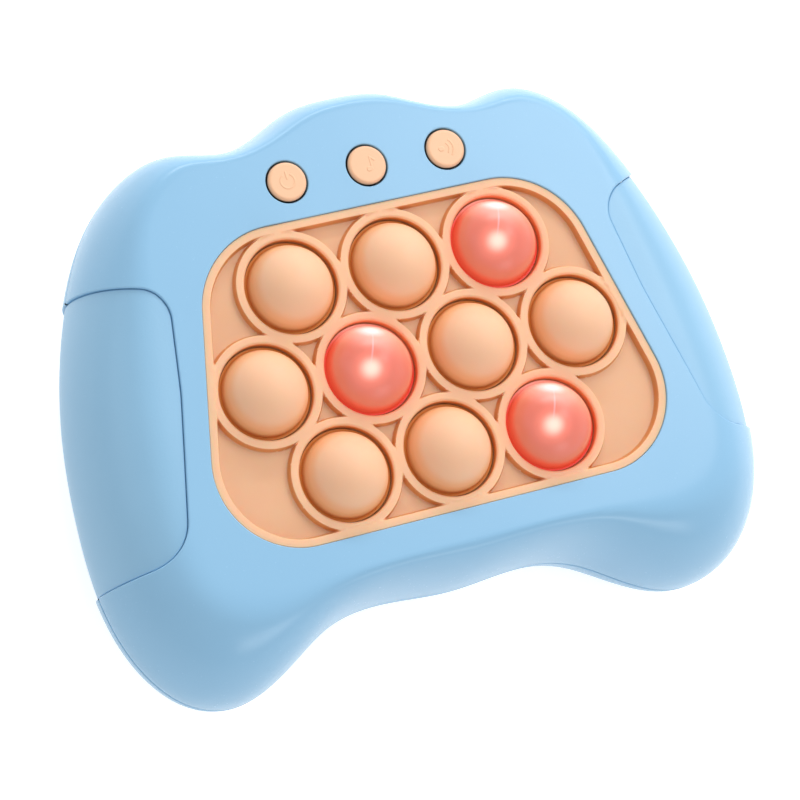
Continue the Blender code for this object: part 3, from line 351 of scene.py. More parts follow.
def silicone(name, painted_shade_heights, roughness, weight, steep_shade=None, lit=()):
    """Translucent rubber with painted shade: a colour for each height in mm, darker lower down,
    and a painted deeper orange where the surface slopes sharply.

    Round each place in lit it takes up a painted red glow, the light of a lit bubble painted into
    its colour, that fades out with the distance.
    """
    material, place = new_material(name)
    # Painted shade: the colour follows the height, darker lower down.
    parts = add(material, "SeparateXYZ", {}, ("Vector", place, "Object"))
    low, high = painted_shade_heights[0][0] * MM, painted_shade_heights[-1][0] * MM
    share = add(material, "MapRange", {"From Min": low, "From Max": high}, ("Value", parts, "Z"))
    colour = with_stops(add(material, "ValToRGB", {}, ("Fac", share, "Result")),
                        [((z * MM - low) / (high - low), code) for z, code in painted_shade_heights])
    layers = []
    # Painted shade: where the surface slopes sharply the colour turns a deeper orange.
    if steep_shade:
        facing = add(material, "SeparateXYZ", {}, ("Vector", place, "Normal"))
        slope = add(material, "MapRange", {"From Min": 0.75, "From Max": 0.25, "To Max": 0.85,
                                           "interpolation_type": "SMOOTHSTEP"},
                    ("Value", facing, "Z"))
        layers.append((slope, steep_shade))
    plan = add(material, "VectorMath", {"operation": "MULTIPLY", 1: (1.0, 1.0, 0.0)},
               (0, place, "Object"))
    # Painted light: round each lit bubble the pad's colour turns towards red, for the bubble's glow
    # falling on it.
    for x, y, _ in lit:
        away = add(material, "VectorMath", {"operation": "DISTANCE", 1: (x, y, 0.0)},
                   (0, plan, "Vector"))
        share = add(material, "MapRange", {"From Min": GLOW_ENDS_MM * MM,
                                           "From Max": GLOW_STARTS_MM * MM, "To Max": GLOW_MOST,
                                           "interpolation_type": "SMOOTHSTEP"},
                    ("Value", away, "Value"))
        layers.append((share, "#FF8C70"))
    output = "Color"
    for amount, code in layers:
        colour = add(material, "Mix", {"data_type": "RGBA", 7: code}, (0, amount, "Result"),
                     (6, colour, output))
        output = 2
    cloud = add(material, "TexNoise", {"Scale": 1 / (SILICONE_CLOUD_MM * MM), "Detail": 2.0},
                ("Vector", place, "Object"))
    uneven = add(material, "HueSaturation", {"Saturation": 1.04, "Value": 0.98},
                 ("Fac", cloud, "Fac"), ("Color", colour, output))
    _, bump = skin_grain(material, place, SKIN_MM, SKIN_DEPTH_MM)
    return finished(material, {"Roughness": roughness, "IOR": SILICONE_IOR,
                               "Subsurface Weight": weight, "Subsurface Scale": 1.8 * MM,
                               "Subsurface Radius": (1.0, 0.4, 0.2)},
                    ("Base Color", uneven, "Color"), ("Normal", bump, "Normal"))


# The pad's colour is painted shade by height, darker in the pockets, with a painted deeper orange
# #D88C50 on its sloping sides.
pad_silicone = silicone("peach moulded silicone",
                        ((35.0, "#ECBB95"), (35.7, "#ECB58A"), (36.4, "#FCC9A3")), 0.45, 0.5,
                        steep_shade="#D88C50",
                        lit=[np.mean(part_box(f"bubble_{name}"), axis=0) for name in LIT_NUMBERS])
# The domes' colour is painted shade by height: a deeper, darker orange down in the groove, paler at
# the top.
bubble_silicone = silicone("peach moulded silicone, domes",
                           ((34.9, "#E8924A"), (35.6, "#EBA66C"), (36.8, "#F5B482"),
                            (37.8, "#FBBC8E"), (39.8, "#FFCAA5")), 0.5, 0.3)
print("silicones:", pad_silicone.name, "and", bubble_silicone.name)

# %% [markdown]
# ### A lit bubble
#
# A lamp under the dome would shine through red silicone. Here that light is painted: the dome
# carries it as its own glow in the emission, and the lamp part below gives no light. The lamp
# shows as a painted pale soft spot, a painted gleam (a highlight) and a fine painted streak lie
# above it, and towards the groove round the foot the painted glow turns a deeper red. The side
# of the dome that faces the lamps is painted paler. Each lit bubble carries its own plan in a UV
# map, so that the spots stay on it: U and V are the distances from its axis, 24 mm to the unit,
# with 0.5 on the axis.

# %% Glowing silicone material
# Where the painted spot of the lamp lies on the dome, and the turn of the painted gleam.
GLOW_EDGE_MM, LAMP_SPOT, GLEAM_TURN = 9.6, (-2.2, -1.1), -0.3
# Painted glow: the last column is light painted as emission, and towards the foot the colours
# deepen to red.
GLOW_STOPS = (  # share of the way out, the rubber's colour, its own light
    (0.0, "#D26E60", "#8A463C"), (0.64, "#D4705E", "#864A40"), (0.82, "#D2715A", "#864C3C"),
    (0.90, "#D65A40", "#963A28"), (0.95, "#C83220", "#A02412"), (1.0, "#B81808", "#A01004"))
# Painted light on a lit dome: two spots for the lamp seen through it, two for a gleam (a painted
# highlight), and a thin painted streak.
GLOW_SPOTS = (  # colour, strength, middle and size in mm, turn
    ("#FF9A88", 0.55, LAMP_SPOT, (5.2, 5.2), 0.0),
    ("#FFECDC", 0.80, LAMP_SPOT, (3.1, 3.1), 0.0),
    ("#F0B4B8", 0.50, (1.0, 6.0), (8.5, 5.0), GLEAM_TURN),
    ("#FFE6F4", 0.85, (0.9, 6.6), (3.9, 2.0), GLEAM_TURN),
    ("#FFD0E4", 0.30, (-0.6, 3.0), (0.32, 6.4), -0.44))


def from_spot(material, plan, middle_mm, size_mm, turn=0.0):
    """The plan seen from an ellipse: 0 in its middle and a length of 1 at its edge."""
    return add(material, "Mapping",
               {"vector_type": "TEXTURE", "Rotation": (0, 0, turn),
                "Location": (*(0.5 + place / OWN_PLAN_MM for place in middle_mm), 0),
                "Scale": (*(size / OWN_PLAN_MM for size in size_mm), 1)}, ("Vector", plan, "UV"))


def glowing_silicone(name):
    """Coral silicone with a painted glow: a red foot, a lamp spot, a gleam and a streak."""
    material, place = new_material(name)
    plan = add(material, "UVMap", {"uv_map": "own plan"})
    middle = from_spot(material, plan, (0, 0), (GLOW_EDGE_MM, GLOW_EDGE_MM))
    away = add(material, "VectorMath", {"operation": "LENGTH"}, (0, middle, "Vector"))
    # Painted light: the side of the dome that faces the lamps is mixed towards paler colours, in
    # the rubber's colour and in its glow.
    towards = add(material, "VectorMath", {"operation": "DOT_PRODUCT", 1: (0.50, 0.866, 0.0)},
                  (0, middle, "Vector"))
    painted_lit_side = add(material, "MapRange", {"From Min": 0.05, "From Max": 0.85, "To Max": 0.85,
                                          "interpolation_type": "SMOOTHSTEP"},
                   ("Value", towards, "Value"))
    body, shine = (
        add(material, "Mix", {"data_type": "RGBA", 7: paler}, (0, painted_lit_side, "Result"),
            (6, with_stops(add(material, "ValToRGB", {}, ("Fac", away, "Value")),
                           [(stop[0], stop[column]) for stop in GLOW_STOPS]), "Color"))
        for column, paler in ((1, "#EFA888"), (2, "#6E3A2C")))
    # Each spot is painted light, mixed into the emission colour.
    for code, strength, middle_mm, size_mm, turn in GLOW_SPOTS:
        own = from_spot(material, plan, middle_mm, size_mm, turn)
        way = add(material, "VectorMath", {"operation": "LENGTH"}, (0, own, "Vector"))
        amount = add(material, "MapRange", {"To Min": strength, "To Max": 0.0,
                                            "interpolation_type": "SMOOTHERSTEP"},
                     ("Value", way, "Value"))
        shine = add(material, "Mix", {"data_type": "RGBA", 7: code}, (0, amount, "Result"),
                    (6, shine, 2))
    _, bump = skin_grain(material, place, SKIN_MM, SKIN_DEPTH_MM)
    return finished(material, {"Roughness": 0.32, "IOR": SILICONE_IOR, "Subsurface Weight": 0.3,
                               "Subsurface Radius": (1.0, 0.3, 0.2),
                               "Subsurface Scale": 1.5 * MM, "Emission Strength": 1.0},
                    ("Base Color", body, 2), ("Emission Color", shine, 2),
                    ("Normal", bump, "Normal"))


glow_silicone = glowing_silicone("red silicone with a painted glow")
print("lit finish:", glow_silicone.name)

# %% [markdown]
# ### Finishes of the works
#
# Steel screws are zinc plated and the contacts are nickelled: both are metal with a fine uneven
# gloss. The board is glass laminate under green lacquer, with copper tracks that show through it.
# The cells have a printed sleeve with bare metal ends, drawn here by the place along the cell.
# Clear acrylic bends what lies behind it, and the milky epoxy of the lamps blurs it. The boots
# are moulded rubber, duller than the ABS, and the leads have soft PVC sleeves with a low gloss.

# %% Materials for the inner parts
STREAK_MM = (0.25, 2.5, 2.5)
WAVE_MM, WAVE_DEPTH_MM = 2, 0.02
TRACK_MM, TRACK_DEPTH_MM = 5, 0.03
PRINT_MM = 0.5


def plated(name, colour, roughness):
    """Plated steel: the colour of the metal and a gloss that a stretched noise breaks up."""
    material, place = new_material(name)
    streaks = add(material, "Mapping", {"Scale": [1 / (size * MM) for size in STREAK_MM]},
                  ("Vector", place, "Object"))
    noise = add(material, "TexNoise", {"Scale": 1.0, "Detail": 2.0}, ("Vector", streaks, "Vector"))
    gloss = add(material, "MapRange", {"To Min": roughness - 0.08, "To Max": roughness + 0.1},
                ("Value", noise, "Fac"))
    return finished(material, {"Base Color": colour, "Metallic": 1.0},
                    ("Roughness", gloss, "Result"))


def clear_plastic(name, colour, roughness):
    """Moulded clear plastic with the faint waves of its mould."""
    material, place = new_material(name)
    _, bump = skin_grain(material, place, WAVE_MM, WAVE_DEPTH_MM, strength=0.5)
    return finished(material, {"Base Color": colour, "Roughness": roughness, "IOR": 1.49,
                               "Transmission Weight": 0.9}, ("Normal", bump, "Normal"))


def lacquered_board(name):
    """Green lacquer over laminate: the edges of rounded cells stand for the copper tracks."""
    material, place = new_material(name)
    tracks = add(material, "TexVoronoi",
                 {"feature": "DISTANCE_TO_EDGE", "distance": "MANHATTAN",
                  "Scale": 1 / (TRACK_MM * MM)}, ("Vector", place, "Object"))
    share = add(material, "MapRange", {"From Min": 0.03, "From Max": 0.06, "To Min": 1.0,
                                       "To Max": 0.0}, ("Value", tracks, "Distance"))
    colour = add(material, "Mix", {"data_type": "RGBA", 6: "#1E6B45", 7: "#3C8F5C"},
                 (0, share, "Result"))
    bump = add(material, "Bump", {"Strength": 1.0, "Distance": TRACK_DEPTH_MM * MM},
               ("Height", share, "Result"))
    return finished(material, {"Roughness": 0.3, "IOR": 1.55}, ("Base Color", colour, 2),
                    ("Normal", bump, "Normal"))


def banded(name, place_node, limits_mm, stops, metal, roughness):
    """A colour and a share of metal for each place between two limits in millimetres."""
    material, place = new_material(name)
    value, output = place_node(material, place)
    share = add(material, "MapRange", {"From Min": limits_mm[0] * MM,
                                       "From Max": limits_mm[1] * MM}, ("Value", value, output))
    colour, bare = (with_stops(add(material, "ValToRGB", {}, ("Fac", share, "Result")), row,
                               "CONSTANT") for row in (stops, metal))
    noise = add(material, "TexNoise", {"Scale": 1 / (PRINT_MM * MM)}, ("Vector", place, "Object"))
    gloss = add(material, "MapRange", {"To Min": roughness - 0.05, "To Max": roughness + 0.05},
                ("Value", noise, "Fac"))
    return finished(material, {}, ("Base Color", colour, "Color"), ("Metallic", bare, "Color"),
                    ("Roughness", gloss, "Result"))


def along_x(material, place):
    """The place along x."""
    return add(material, "SeparateXYZ", {}, ("Vector", place, "Object")), "X"


def from_speaker_axis(material, place):
    """The distance from the speaker's axis."""
    middle = np.mean(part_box("speaker"), axis=0)
    shifted = add(material, "Mapping", {"vector_type": "TEXTURE", "Location": (*middle[:2], 0)},
                  ("Vector", place, "Object"))
    flat = add(material, "VectorMath", {"operation": "MULTIPLY", 1: (1, 1, 0)},
               (0, shifted, "Vector"))
    return add(material, "VectorMath", {"operation": "LENGTH"}, (0, flat, "Vector")), "Value"


zinc_steel = plated("zinc-plated steel", "#B9BDC2", 0.32)
nickel_steel = plated("nickelled spring steel", "#C9C4B8", 0.26)
clear_acrylic = clear_plastic("clear moulded acrylic", "#F4FAFF", 0.06)
epoxy_lens = clear_plastic("milky epoxy lens", "#FFF6E0", 0.3)
board_laminate = lacquered_board("green lacquered glass laminate")
white_plastic, boot_rubber, red_pvc, black_pvc = (moulded_plastic(*row) for row in (
    # name, colour, deeper shade, roughness, grain and its depth in mm
    ("white moulded ABS", "#ECECE8", "#E4E4E0", 0.42, 0.6, 0.004),
    ("grey moulded rubber", "#7B7F84", "#73777C", 0.6, 0.5, 0.006),
    ("red PVC sleeve", "#C9362B", "#BE3026", 0.4, 0.4, 0.002),
    ("black PVC sleeve", "#26282B", "#202225", 0.4, 0.4, 0.002)))
speaker_cone = banded("pressed paper cone in a steel frame", from_speaker_axis, (0, 10),
                      ((0.0, "#1B1B1D"), (0.32, "#2B2A2A"), (0.84, "#9FA3A7")),
                      ((0.0, "#000000"), (0.84, "#FFFFFF")), 0.55)
cell_sleeve = banded("printed steel cell", along_x, (-22.25, 22.25),
                     ((0.0, "#B8BABD"), (0.03, "#3B4046"), (0.68, "#B98A4A"), (0.96, "#B8BABD")),
                     ((0.0, "#FFFFFF"), (0.03, "#000000"), (0.96, "#FFFFFF")), 0.3)
print("finishes in all:", len(bpy.data.materials))

# %% [markdown]
# ## The body as one formula
#
# Three closed curves carry the whole case: the widest line, the edge of the flat face and the edge
# of the flat back. Each is a closed cubic spline through a few points of the right half and their
# mirror images. Between them the surface rolls over along a superellipse, a curve between an
# ellipse and a rounded box. A point of the surface has two coordinates. The first, s, counts the
# control points clockwise round the outline. The second, v, is 0 at the edge of the face, 1 on the
# widest line and 2 at the edge of the back, and goes a little past both ends onto the flats.

# %% Curves round the body
HALF_WIDTH, HALF_HEIGHT, DEPTH = 72.4, 57.1, 37.0
FRONT_ROLL, BACK_ROLL = 1.85, 2.0
SEAM = 0.4
WIDEST = (
    (0.0, 1.0), (0.124, 0.986), (0.249, 0.916), (0.359, 0.881), (0.528, 0.915), (0.684, 0.828),
    (0.820, 0.611), (0.917, 0.329), (0.974, 0.049), (1.0, -0.264), (0.993, -0.545),
    (0.925, -0.813), (0.804, -0.968), (0.677, -1.0), (0.526, -0.925), (0.391, -0.825),
    (0.276, -0.788), (0.0, -0.802),
)
FACE_EDGE = (
    (0.0, 0.895), (0.115, 0.877), (0.235, 0.821), (0.359, 0.786), (0.504, 0.783), (0.615, 0.681),
    (0.670, 0.497), (0.698, 0.261), (0.722, 0.016), (0.743, -0.247), (0.749, -0.457),
    (0.725, -0.588), (0.663, -0.650), (0.587, -0.673), (0.477, -0.678), (0.366, -0.676),
    (0.249, -0.674), (0.0, -0.673),
)
BACK_EDGE = (
    (0.0, 0.821), (0.117, 0.809), (0.235, 0.769), (0.359, 0.743), (0.511, 0.751), (0.628, 0.673),
    (0.691, 0.489), (0.725, 0.261), (0.753, 0.016), (0.773, -0.247), (0.773, -0.492),
    (0.746, -0.667), (0.691, -0.772), (0.622, -0.807), (0.504, -0.778), (0.380, -0.711),
    (0.262, -0.667), (0.0, -0.667),
)
WIDEST_HEIGHT = (
    0.554, 0.554, 0.554, 0.554, 0.532, 0.470, 0.459, 0.459, 0.457, 0.454, 0.438, 0.405, 0.351,
    0.311, 0.311, 0.338, 0.378, 0.392,
)


def control_points():
    """Rows of widest x, y, its height, face edge x, y and back edge x, y, all the way round."""
    plan = np.array([HALF_WIDTH, HALF_HEIGHT])
    right = np.column_stack([np.array(WIDEST) * plan, np.array(WIDEST_HEIGHT) * DEPTH,
                             np.array(FACE_EDGE) * plan, np.array(BACK_EDGE) * plan])
    left = right[-2:0:-1] * np.array([-1, 1, 1, -1, 1, -1, 1])
    return np.vstack([right, left])


CONTROL = control_points()
COUNT = len(CONTROL)
AHEAD = np.roll(CONTROL, -1, axis=0)
SPAN = np.linalg.norm((AHEAD - CONTROL)[:, :2], axis=1)[:, None]


def spline_slopes():
    """The slope at each control point that keeps curvature even on both sides of it."""
    before = np.roll(SPAN, 1, axis=0)
    behind = np.roll(CONTROL, 1, axis=0)
    system = np.zeros((COUNT, COUNT))
    rows = np.arange(COUNT)
    system[rows, rows - 1] = SPAN[:, 0]
    system[rows, rows] = 2 * (SPAN + before)[:, 0]
    system[rows, (rows + 1) % COUNT] = before[:, 0]
    rate = 3 * (SPAN / before * (CONTROL - behind) + before / SPAN * (AHEAD - CONTROL))
    return np.linalg.solve(system, rate)


SLOPE = spline_slopes()


def lines_at(s):
    """The seven body values at any s: a cubic between two control points with given slopes."""
    index = np.floor(s).astype(int) % COUNT
    after = (index + 1) % COUNT
    t = (s - np.floor(s))[:, None]
    return ((2 * t**3 - 3 * t**2 + 1) * CONTROL[index] + (t**3 - 2 * t**2 + t) * SPAN[index]
            * SLOPE[index] + (3 * t**2 - 2 * t**3) * CONTROL[after]
            + (t**3 - t**2) * SPAN[index] * SLOPE[after])


print("control points round the body:", COUNT)

# %% Body surface
FACE_MARGIN, BACK_MARGIN = 2.6, 6.0
# The back's margin narrows below the grips, where two screw sinks lie close to the edge.
LOW_MARGIN, LOW_MARGIN_Y = 1.0, (-36.0, -20.0)
EASE_IN, S_STEP, JUST_PAST = 0.3, 1e-3, 1e-9


def outward(s, columns):
    """The outward normal in plan of the face edge or back edge: its tangent turned left."""
    return left_of(unit(lines_at(s + S_STEP)[:, columns] - lines_at(s - S_STEP)[:, columns]))


def rolled(start, widest, start_height, height, v, exponent):
    """From the start line at v = 0 to the widest line at v = 1 along a superellipse quarter."""
    angle = np.clip(v, 0, 1) * QUARTER
    out = (np.sin(angle) ** (2 / exponent))[:, None]
    up = np.clip(np.cos(angle), 0, 1) ** (2 / exponent)
    return np.column_stack([start + (widest - start) * out, height + (start_height - height) * up])


def body_points(s, v, seam=0.0):
    """The point of the body at each (s, v); the seam moves the widest line up or down."""
    lines = lines_at(s)
    widest, height, face, back = lines[:, :2], lines[:, 2], lines[:, 3:5], lines[:, 5:7]
    front = rolled(face, widest, DEPTH, height + seam, v, FRONT_ROLL)
    rear = rolled(back, widest, 0.0, height + seam, 2 - v, BACK_ROLL)
    points = np.where((v <= 1)[:, None], front, rear)
    on_face = np.minimum(v, 0)[:, None] * FACE_MARGIN * outward(s, slice(3, 5))
    margin = np.interp(lines[:, 6], LOW_MARGIN_Y, (LOW_MARGIN, BACK_MARGIN))
    on_back = (np.maximum(v - 2, 0) * margin)[:, None] * outward(s, slice(5, 7))
    points[:, :2] += on_face - on_back
    return points


def body_normals(s, v, seam=0.0):
    """Outward normals: the cross product of the steps along s and along v, kept on one side.

    Over the first part of the way from the face they ease in from straight up, so that the shade
    of the face runs into the shade of the side without a line.
    """
    low = np.where(v <= 1, v - S_STEP, np.maximum(v, 1 + JUST_PAST))
    high = np.where(v <= 1, np.minimum(v + S_STEP, 1), v + S_STEP)
    along = body_points(s + S_STEP, v, seam) - body_points(s - S_STEP, v, seam)
    across = body_points(s, high, seam) - body_points(s, low, seam)
    share = smooth(v / EASE_IN)[:, None]
    normals = share * unit(np.cross(along, across)) + (1 - share) * np.array([0.0, 0.0, 1.0])
    normals = unit(normals)
    normals[v >= 2] = (0, 0, -1)
    return normals


corner = body_points(np.array([9.0]), np.array([1.0]))[0]
print("widest point of the right side, mm:", np.round(corner, 1))

# %% [markdown]
# ## Outlines
#
# The window, the grips and the battery door are polygons with round corners. An outline that is
# grown by a distance keeps the same centres and gains that distance in the radius of every corner
# that points outward, as an offset in a drawing program does.

# %% Rounded outlines
def rounded(corners, radii, grow=0.0, step=0.5):
    """A rounded polygon, anticlockwise: each corner is an arc that touches both of its sides."""
    corners = np.array(corners, float)
    ahead = unit(np.roll(corners, -1, axis=0) - corners)
    behind = np.roll(ahead, 1, axis=0)
    out_ahead = -left_of(ahead)
    out_behind = np.roll(out_ahead, 1, axis=0)
    reach = grow / (1 + (out_ahead * out_behind).sum(axis=1))
    corners = corners + (out_ahead + out_behind) * reach[:, None]
    arcs = []
    for here, came, goes, radius in zip(corners, behind, ahead, radii):
        turn = math.atan2(came[0] * goes[1] - came[1] * goes[0], came @ goes)
        side = 1 if turn > 0 else -1
        radius = max(radius + side * grow, 0.01)
        start = here - came * radius * abs(math.tan(turn / 2))
        middle = start + side * radius * np.array([-came[1], came[0]])
        first = math.atan2(*(start - middle)[::-1])
        angles = first + np.linspace(0, turn, int(radius * abs(turn) / step) + 2)
        arcs.append(middle + radius * np.column_stack([np.cos(angles), np.sin(angles)]))
    return np.vstack(arcs)


def evenly(outline, step, closed=True):
    """Points at an even distance along an outline, its own corners left in."""
    ahead = np.roll(outline, -1, axis=0)
    lengths = np.linalg.norm(ahead - outline, axis=1)
    parts = [here + (there - here) * np.linspace(0, 1, max(1, math.ceil(size / step)),
                                                 endpoint=False)[:, None]
             for here, there, size in zip(outline, ahead, lengths)]
    return np.vstack(parts if closed else parts[:-1] + [outline[-1:]])


def circle(centre, radius, count):
    """Points round a circle, anticlockwise."""
    angles = np.linspace(0, 2 * math.pi, count, endpoint=False)
    return np.array(centre) + radius * np.column_stack([np.cos(angles), np.sin(angles)])


WINDOW_CORNERS = ((-53.3, -32.9), (53.3, -32.9), (38.6, 31.2), (-38.6, 31.2))
WINDOW_RADII = (17.0, 17.0, 18.0, 18.0)


def window(grow=0.0, step=0.6):
    """The play window: a trapezoid with large round corners."""
    return evenly(rounded(WINDOW_CORNERS, WINDOW_RADII, grow), step)


print("window outline points:", len(window()))

# %% [markdown]
# ## Trimmed sheets
#
# Holes are cut in a surface before it is bent. The surface is flat in its own two coordinates, so
# there a constrained Delaunay triangulation fills the space between a grid of points and the
# outlines of the holes with well-shaped triangles. Each point is then put in its place in space.
# A Boolean would also cut the holes, but it leaves a hard edge and no exact normals.

# %% Triangulate between outlines
S_MM, FRONT_MM, BACK_MM = 12.3, 30, 22
PER_SPAN = 12  # columns between two control points
COLUMNS = np.arange(0, COUNT + JUST_PAST, 1 / PER_SPAN)
FRONT_ROWS = np.concatenate([[-1, -0.5], np.linspace(0, 1, 26)])
BACK_ROWS = np.concatenate([np.linspace(1, 2, 20), [2.5, 3]])


def inside(points, loop):
    """Whether each point lies in the loop: a ray from it crosses it an odd number of times."""
    odd = np.zeros(len(points), bool)
    for (x0, y0), (x1, y1) in zip(loop, np.roll(loop, -1, axis=0)):
        if y0 != y1:
            spans = (points[:, 1] < y0) != (points[:, 1] < y1)
            odd ^= spans & (points[:, 0] < x0 + (points[:, 1] - y0) * (x1 - x0) / (y1 - y0))
    return odd


def triangulate(free, outer, holes=()):
    """Points and triangles through free points, in the outer loop and outside the holes."""
    points = np.vstack([free, *holes, outer])
    edges, start = [], len(free)
    for loop in [*holes, outer]:
        index = np.arange(len(loop)) + start
        edges += list(zip(index.tolist(), np.roll(index, -1).tolist()))
        start += len(loop)
    made = delaunay_2d_cdt([tuple(p) for p in points.tolist()], edges, [], 0, 1e-7)
    points = np.array([tuple(p) for p in made[0]])
    triangles = np.array([face for face in made[2] if len(face) == 3])
    middle = points[triangles].mean(axis=1)
    kept = inside(middle, outer)
    for hole in holes:
        kept &= ~inside(middle, hole)
    return points, triangles[kept]


def flat_sheet(outer, holes, height, up=1.0):
    """A flat sheet at a height, between its outer outline and its holes."""
    points, triangles = triangulate(np.empty((0, 2)), outer, holes)
    places = np.column_stack([points, np.full(len(points), height)])
    return places, np.tile((0.0, 0.0, up), (len(points), 1)), triangles


def raised_sheet(points, triangles, height, middle=(0.0, 0.0), base=0.0):
    """A sheet over the plan: the height is a function, and its slopes give the normals."""
    step = 0.01
    slopes = [(height(points + way) - height(points - way)) / (2 * step)
              for way in ((step, 0), (0, step))]
    normals = unit(np.column_stack([-slopes[0], -slopes[1], np.ones(len(points))]))
    return np.column_stack([points + middle, base + height(points)]), normals, triangles


def unrolled(loop):
    """A loop of (s, v) in millimetres along and across, so that triangles come out even."""
    s, v = loop.T
    across = (np.minimum(v, 0) * FACE_MARGIN + np.clip(v, 0, 1) * FRONT_MM
              + np.clip(v - 1, 0, 1) * BACK_MM + np.maximum(v - 2, 0) * BACK_MARGIN)
    return np.column_stack([s * S_MM, across])


def rolled_back(points):
    """The s and v of unrolled points: the same broken line read backwards."""
    far = FRONT_MM + BACK_MM
    return points[:, 0] / S_MM, np.interp(
        points[:, 1], [-FACE_MARGIN, 0, FRONT_MM, far, far + BACK_MARGIN], [-1, 0, 1, 2, 3])


def rolled_sheet(rows, holes, seam=0.0):
    """The body between the first and last row of v, less the holes."""
    first, last = (unrolled(grid(COLUMNS, [v])) for v in (rows[0], rows[-1]))
    points, triangles = triangulate(unrolled(grid(COLUMNS, rows[1:-1])),
                                    np.vstack([first, last[::-1]]),
                                    [unrolled(hole) for hole in holes])
    s, v = rolled_back(points)
    return body_points(s, v, seam), body_normals(s, v, seam), triangles


def rolled_panel(loop, inset):
    """The body inside one loop, moved in along its normals."""
    free = unrolled(grid(COLUMNS, np.concatenate([FRONT_ROWS, BACK_ROWS[1:]])))
    edge = unrolled(loop)
    points, triangles = triangulate(free[inside(free, edge)], edge)
    s, v = rolled_back(points)
    normals = body_normals(s, v)
    return body_points(s, v) - normals * inset, normals, triangles


print("columns and rows of the front sheet:", len(COLUMNS), "and", len(FRONT_ROWS))

# %% [markdown]
# ## Edges as swept profiles
#
# The rim of every hole is a small profile carried along the hole's outline: a quarter circle that
# leaves the surface smoothly, and then a short wall that goes down into the part. The quarter
# circle catches the thin line of light that makes a moulded edge look real.

# %% Sweep a rounded edge along a line
TILTS = np.linspace(0, QUARTER, 7)


def strip(levels, count, closed):
    """Triangles of a grid of levels by count points, the last column joined to the first or not."""
    index = np.arange(levels * count).reshape(levels, count)
    if closed:
        index = np.hstack([index, index[:, :1]])
    a, b = index[:-1, :-1].ravel(), index[:-1, 1:].ravel()
    c, d = index[1:, :-1].ravel(), index[1:, 1:].ravel()
    return np.vstack([np.column_stack([a, b, c]), np.column_stack([b, d, c])])


def swept_edge(places, normals, inward, radius, depth, closed=True):
    """Quarter circle and wall: place + r sin(a) inward - r (1 - cos(a)) normal, then down."""
    rows, row_normals = [], []
    for tilt, wall in [(tilt, 0.0) for tilt in TILTS] + [(QUARTER, depth)]:
        down = radius * (1 - math.cos(tilt)) + wall
        rows.append(places + inward * (radius * math.sin(tilt)) - normals * down)
        row_normals.append(inward * math.sin(tilt) + normals * math.cos(tilt))
    return np.vstack(rows), np.vstack(row_normals), strip(len(rows), len(places), closed)


def flat_edge(outline, height, radius, depth, up=1.0, outer=False):
    """The rounded edge of a hole in a flat face, or of the face's own outline."""
    side = np.column_stack([left_of(unit(around(outline))), np.zeros(len(outline))])
    places = np.column_stack([outline, np.broadcast_to(height, len(outline))])
    normals = np.tile((0.0, 0.0, up), (len(outline), 1))
    return swept_edge(places, normals, -side if outer else side, radius, depth)


def loop_edge(loop, radius, depth, inset=0.0, seam=0.0, outer=False, part=None):
    """The rounded edge along a loop of (s, v) on the body, or along one part of it."""
    s, v = loop.T
    anticlockwise = (s * np.roll(v, -1) - np.roll(s, -1) * v).sum() > 0
    if part is not None:
        s, v = part.T
    normals = body_normals(s, v, seam)
    places = body_points(s, v, seam) - normals * inset
    tangent = around(places) if part is None else np.gradient(places, axis=0)
    side = unit(np.cross(normals, tangent))
    return swept_edge(places, normals, -side if anticlockwise == outer else side, radius, depth,
                      part is None)


print("triangles of a small closed strip:", len(strip(2, 6, True)))

# %% [markdown]
# ## Where the grips are cut
#
# A grip's outline is drawn in plan, like the window's, and goes straight down through the case. On
# the rolled surface it becomes a loop of (s, v). The inner end is found by Newton's method: from a
# near guess, each step follows the surface's own slopes to the wanted point. The top and bottom
# sides are found row by row, where each row of the surface meets the side's line.

# %% Grip loops
GRIP_CORNERS = ((57.7, -28.9), (80.0, -30.5), (80.0, 35.9), (47.2, 22.4), (50.4, 2.3))
GRIP_RADII, BEYOND_BODY = (9.5, 0.0, 0.0, 7.1, 60.0), 78
GRIP_OUTLINE_STEP, GRIP_POINT_STEP, FRONT_POINTS, BACK_POINTS = 0.4, 0.5, 90, 70
NEWTON_STEP, NEWTON_ROUNDS, MOST_S, MOST_V = 1e-4, 25, 0.3, 0.1
NET_S = np.arange(3, 13, 0.125)
NET_V = {1: np.linspace(-1, 0.9, 20), -1: np.linspace(1.1, 3, 20)}
LIMITS_V = {1: (-1.0, 0.97), -1: (1.03, 3.0)}


def to_surface(plan, side):
    """(s, v) of plan points, on the front for side 1 and the back for -1.

    The first guess is the nearest point of a coarse net, and Newton's method does the rest.
    """
    s, v = grid(NET_S, NET_V[side]).T
    net = body_points(s, v)[:, :2]
    pick = np.argmin(((plan[:, None] - net[None]) ** 2).sum(axis=2), axis=1)
    s, v = s[pick], v[pick]
    for _ in range(NEWTON_ROUNDS):
        here = body_points(s, v)[:, :2]
        along = (body_points(s + NEWTON_STEP, v)[:, :2] - here) / NEWTON_STEP
        across = (body_points(s, v + NEWTON_STEP)[:, :2] - here) / NEWTON_STEP
        miss = plan - here
        size = along[:, 0] * across[:, 1] - along[:, 1] * across[:, 0]
        ds = (miss[:, 0] * across[:, 1] - miss[:, 1] * across[:, 0]) / size
        dv = (along[:, 0] * miss[:, 1] - along[:, 1] * miss[:, 0]) / size
        s = s + np.clip(ds, -MOST_S, MOST_S)
        v = np.clip(v + np.clip(dv, -MOST_V, MOST_V), *LIMITS_V[side])
    return np.column_stack([s, v])


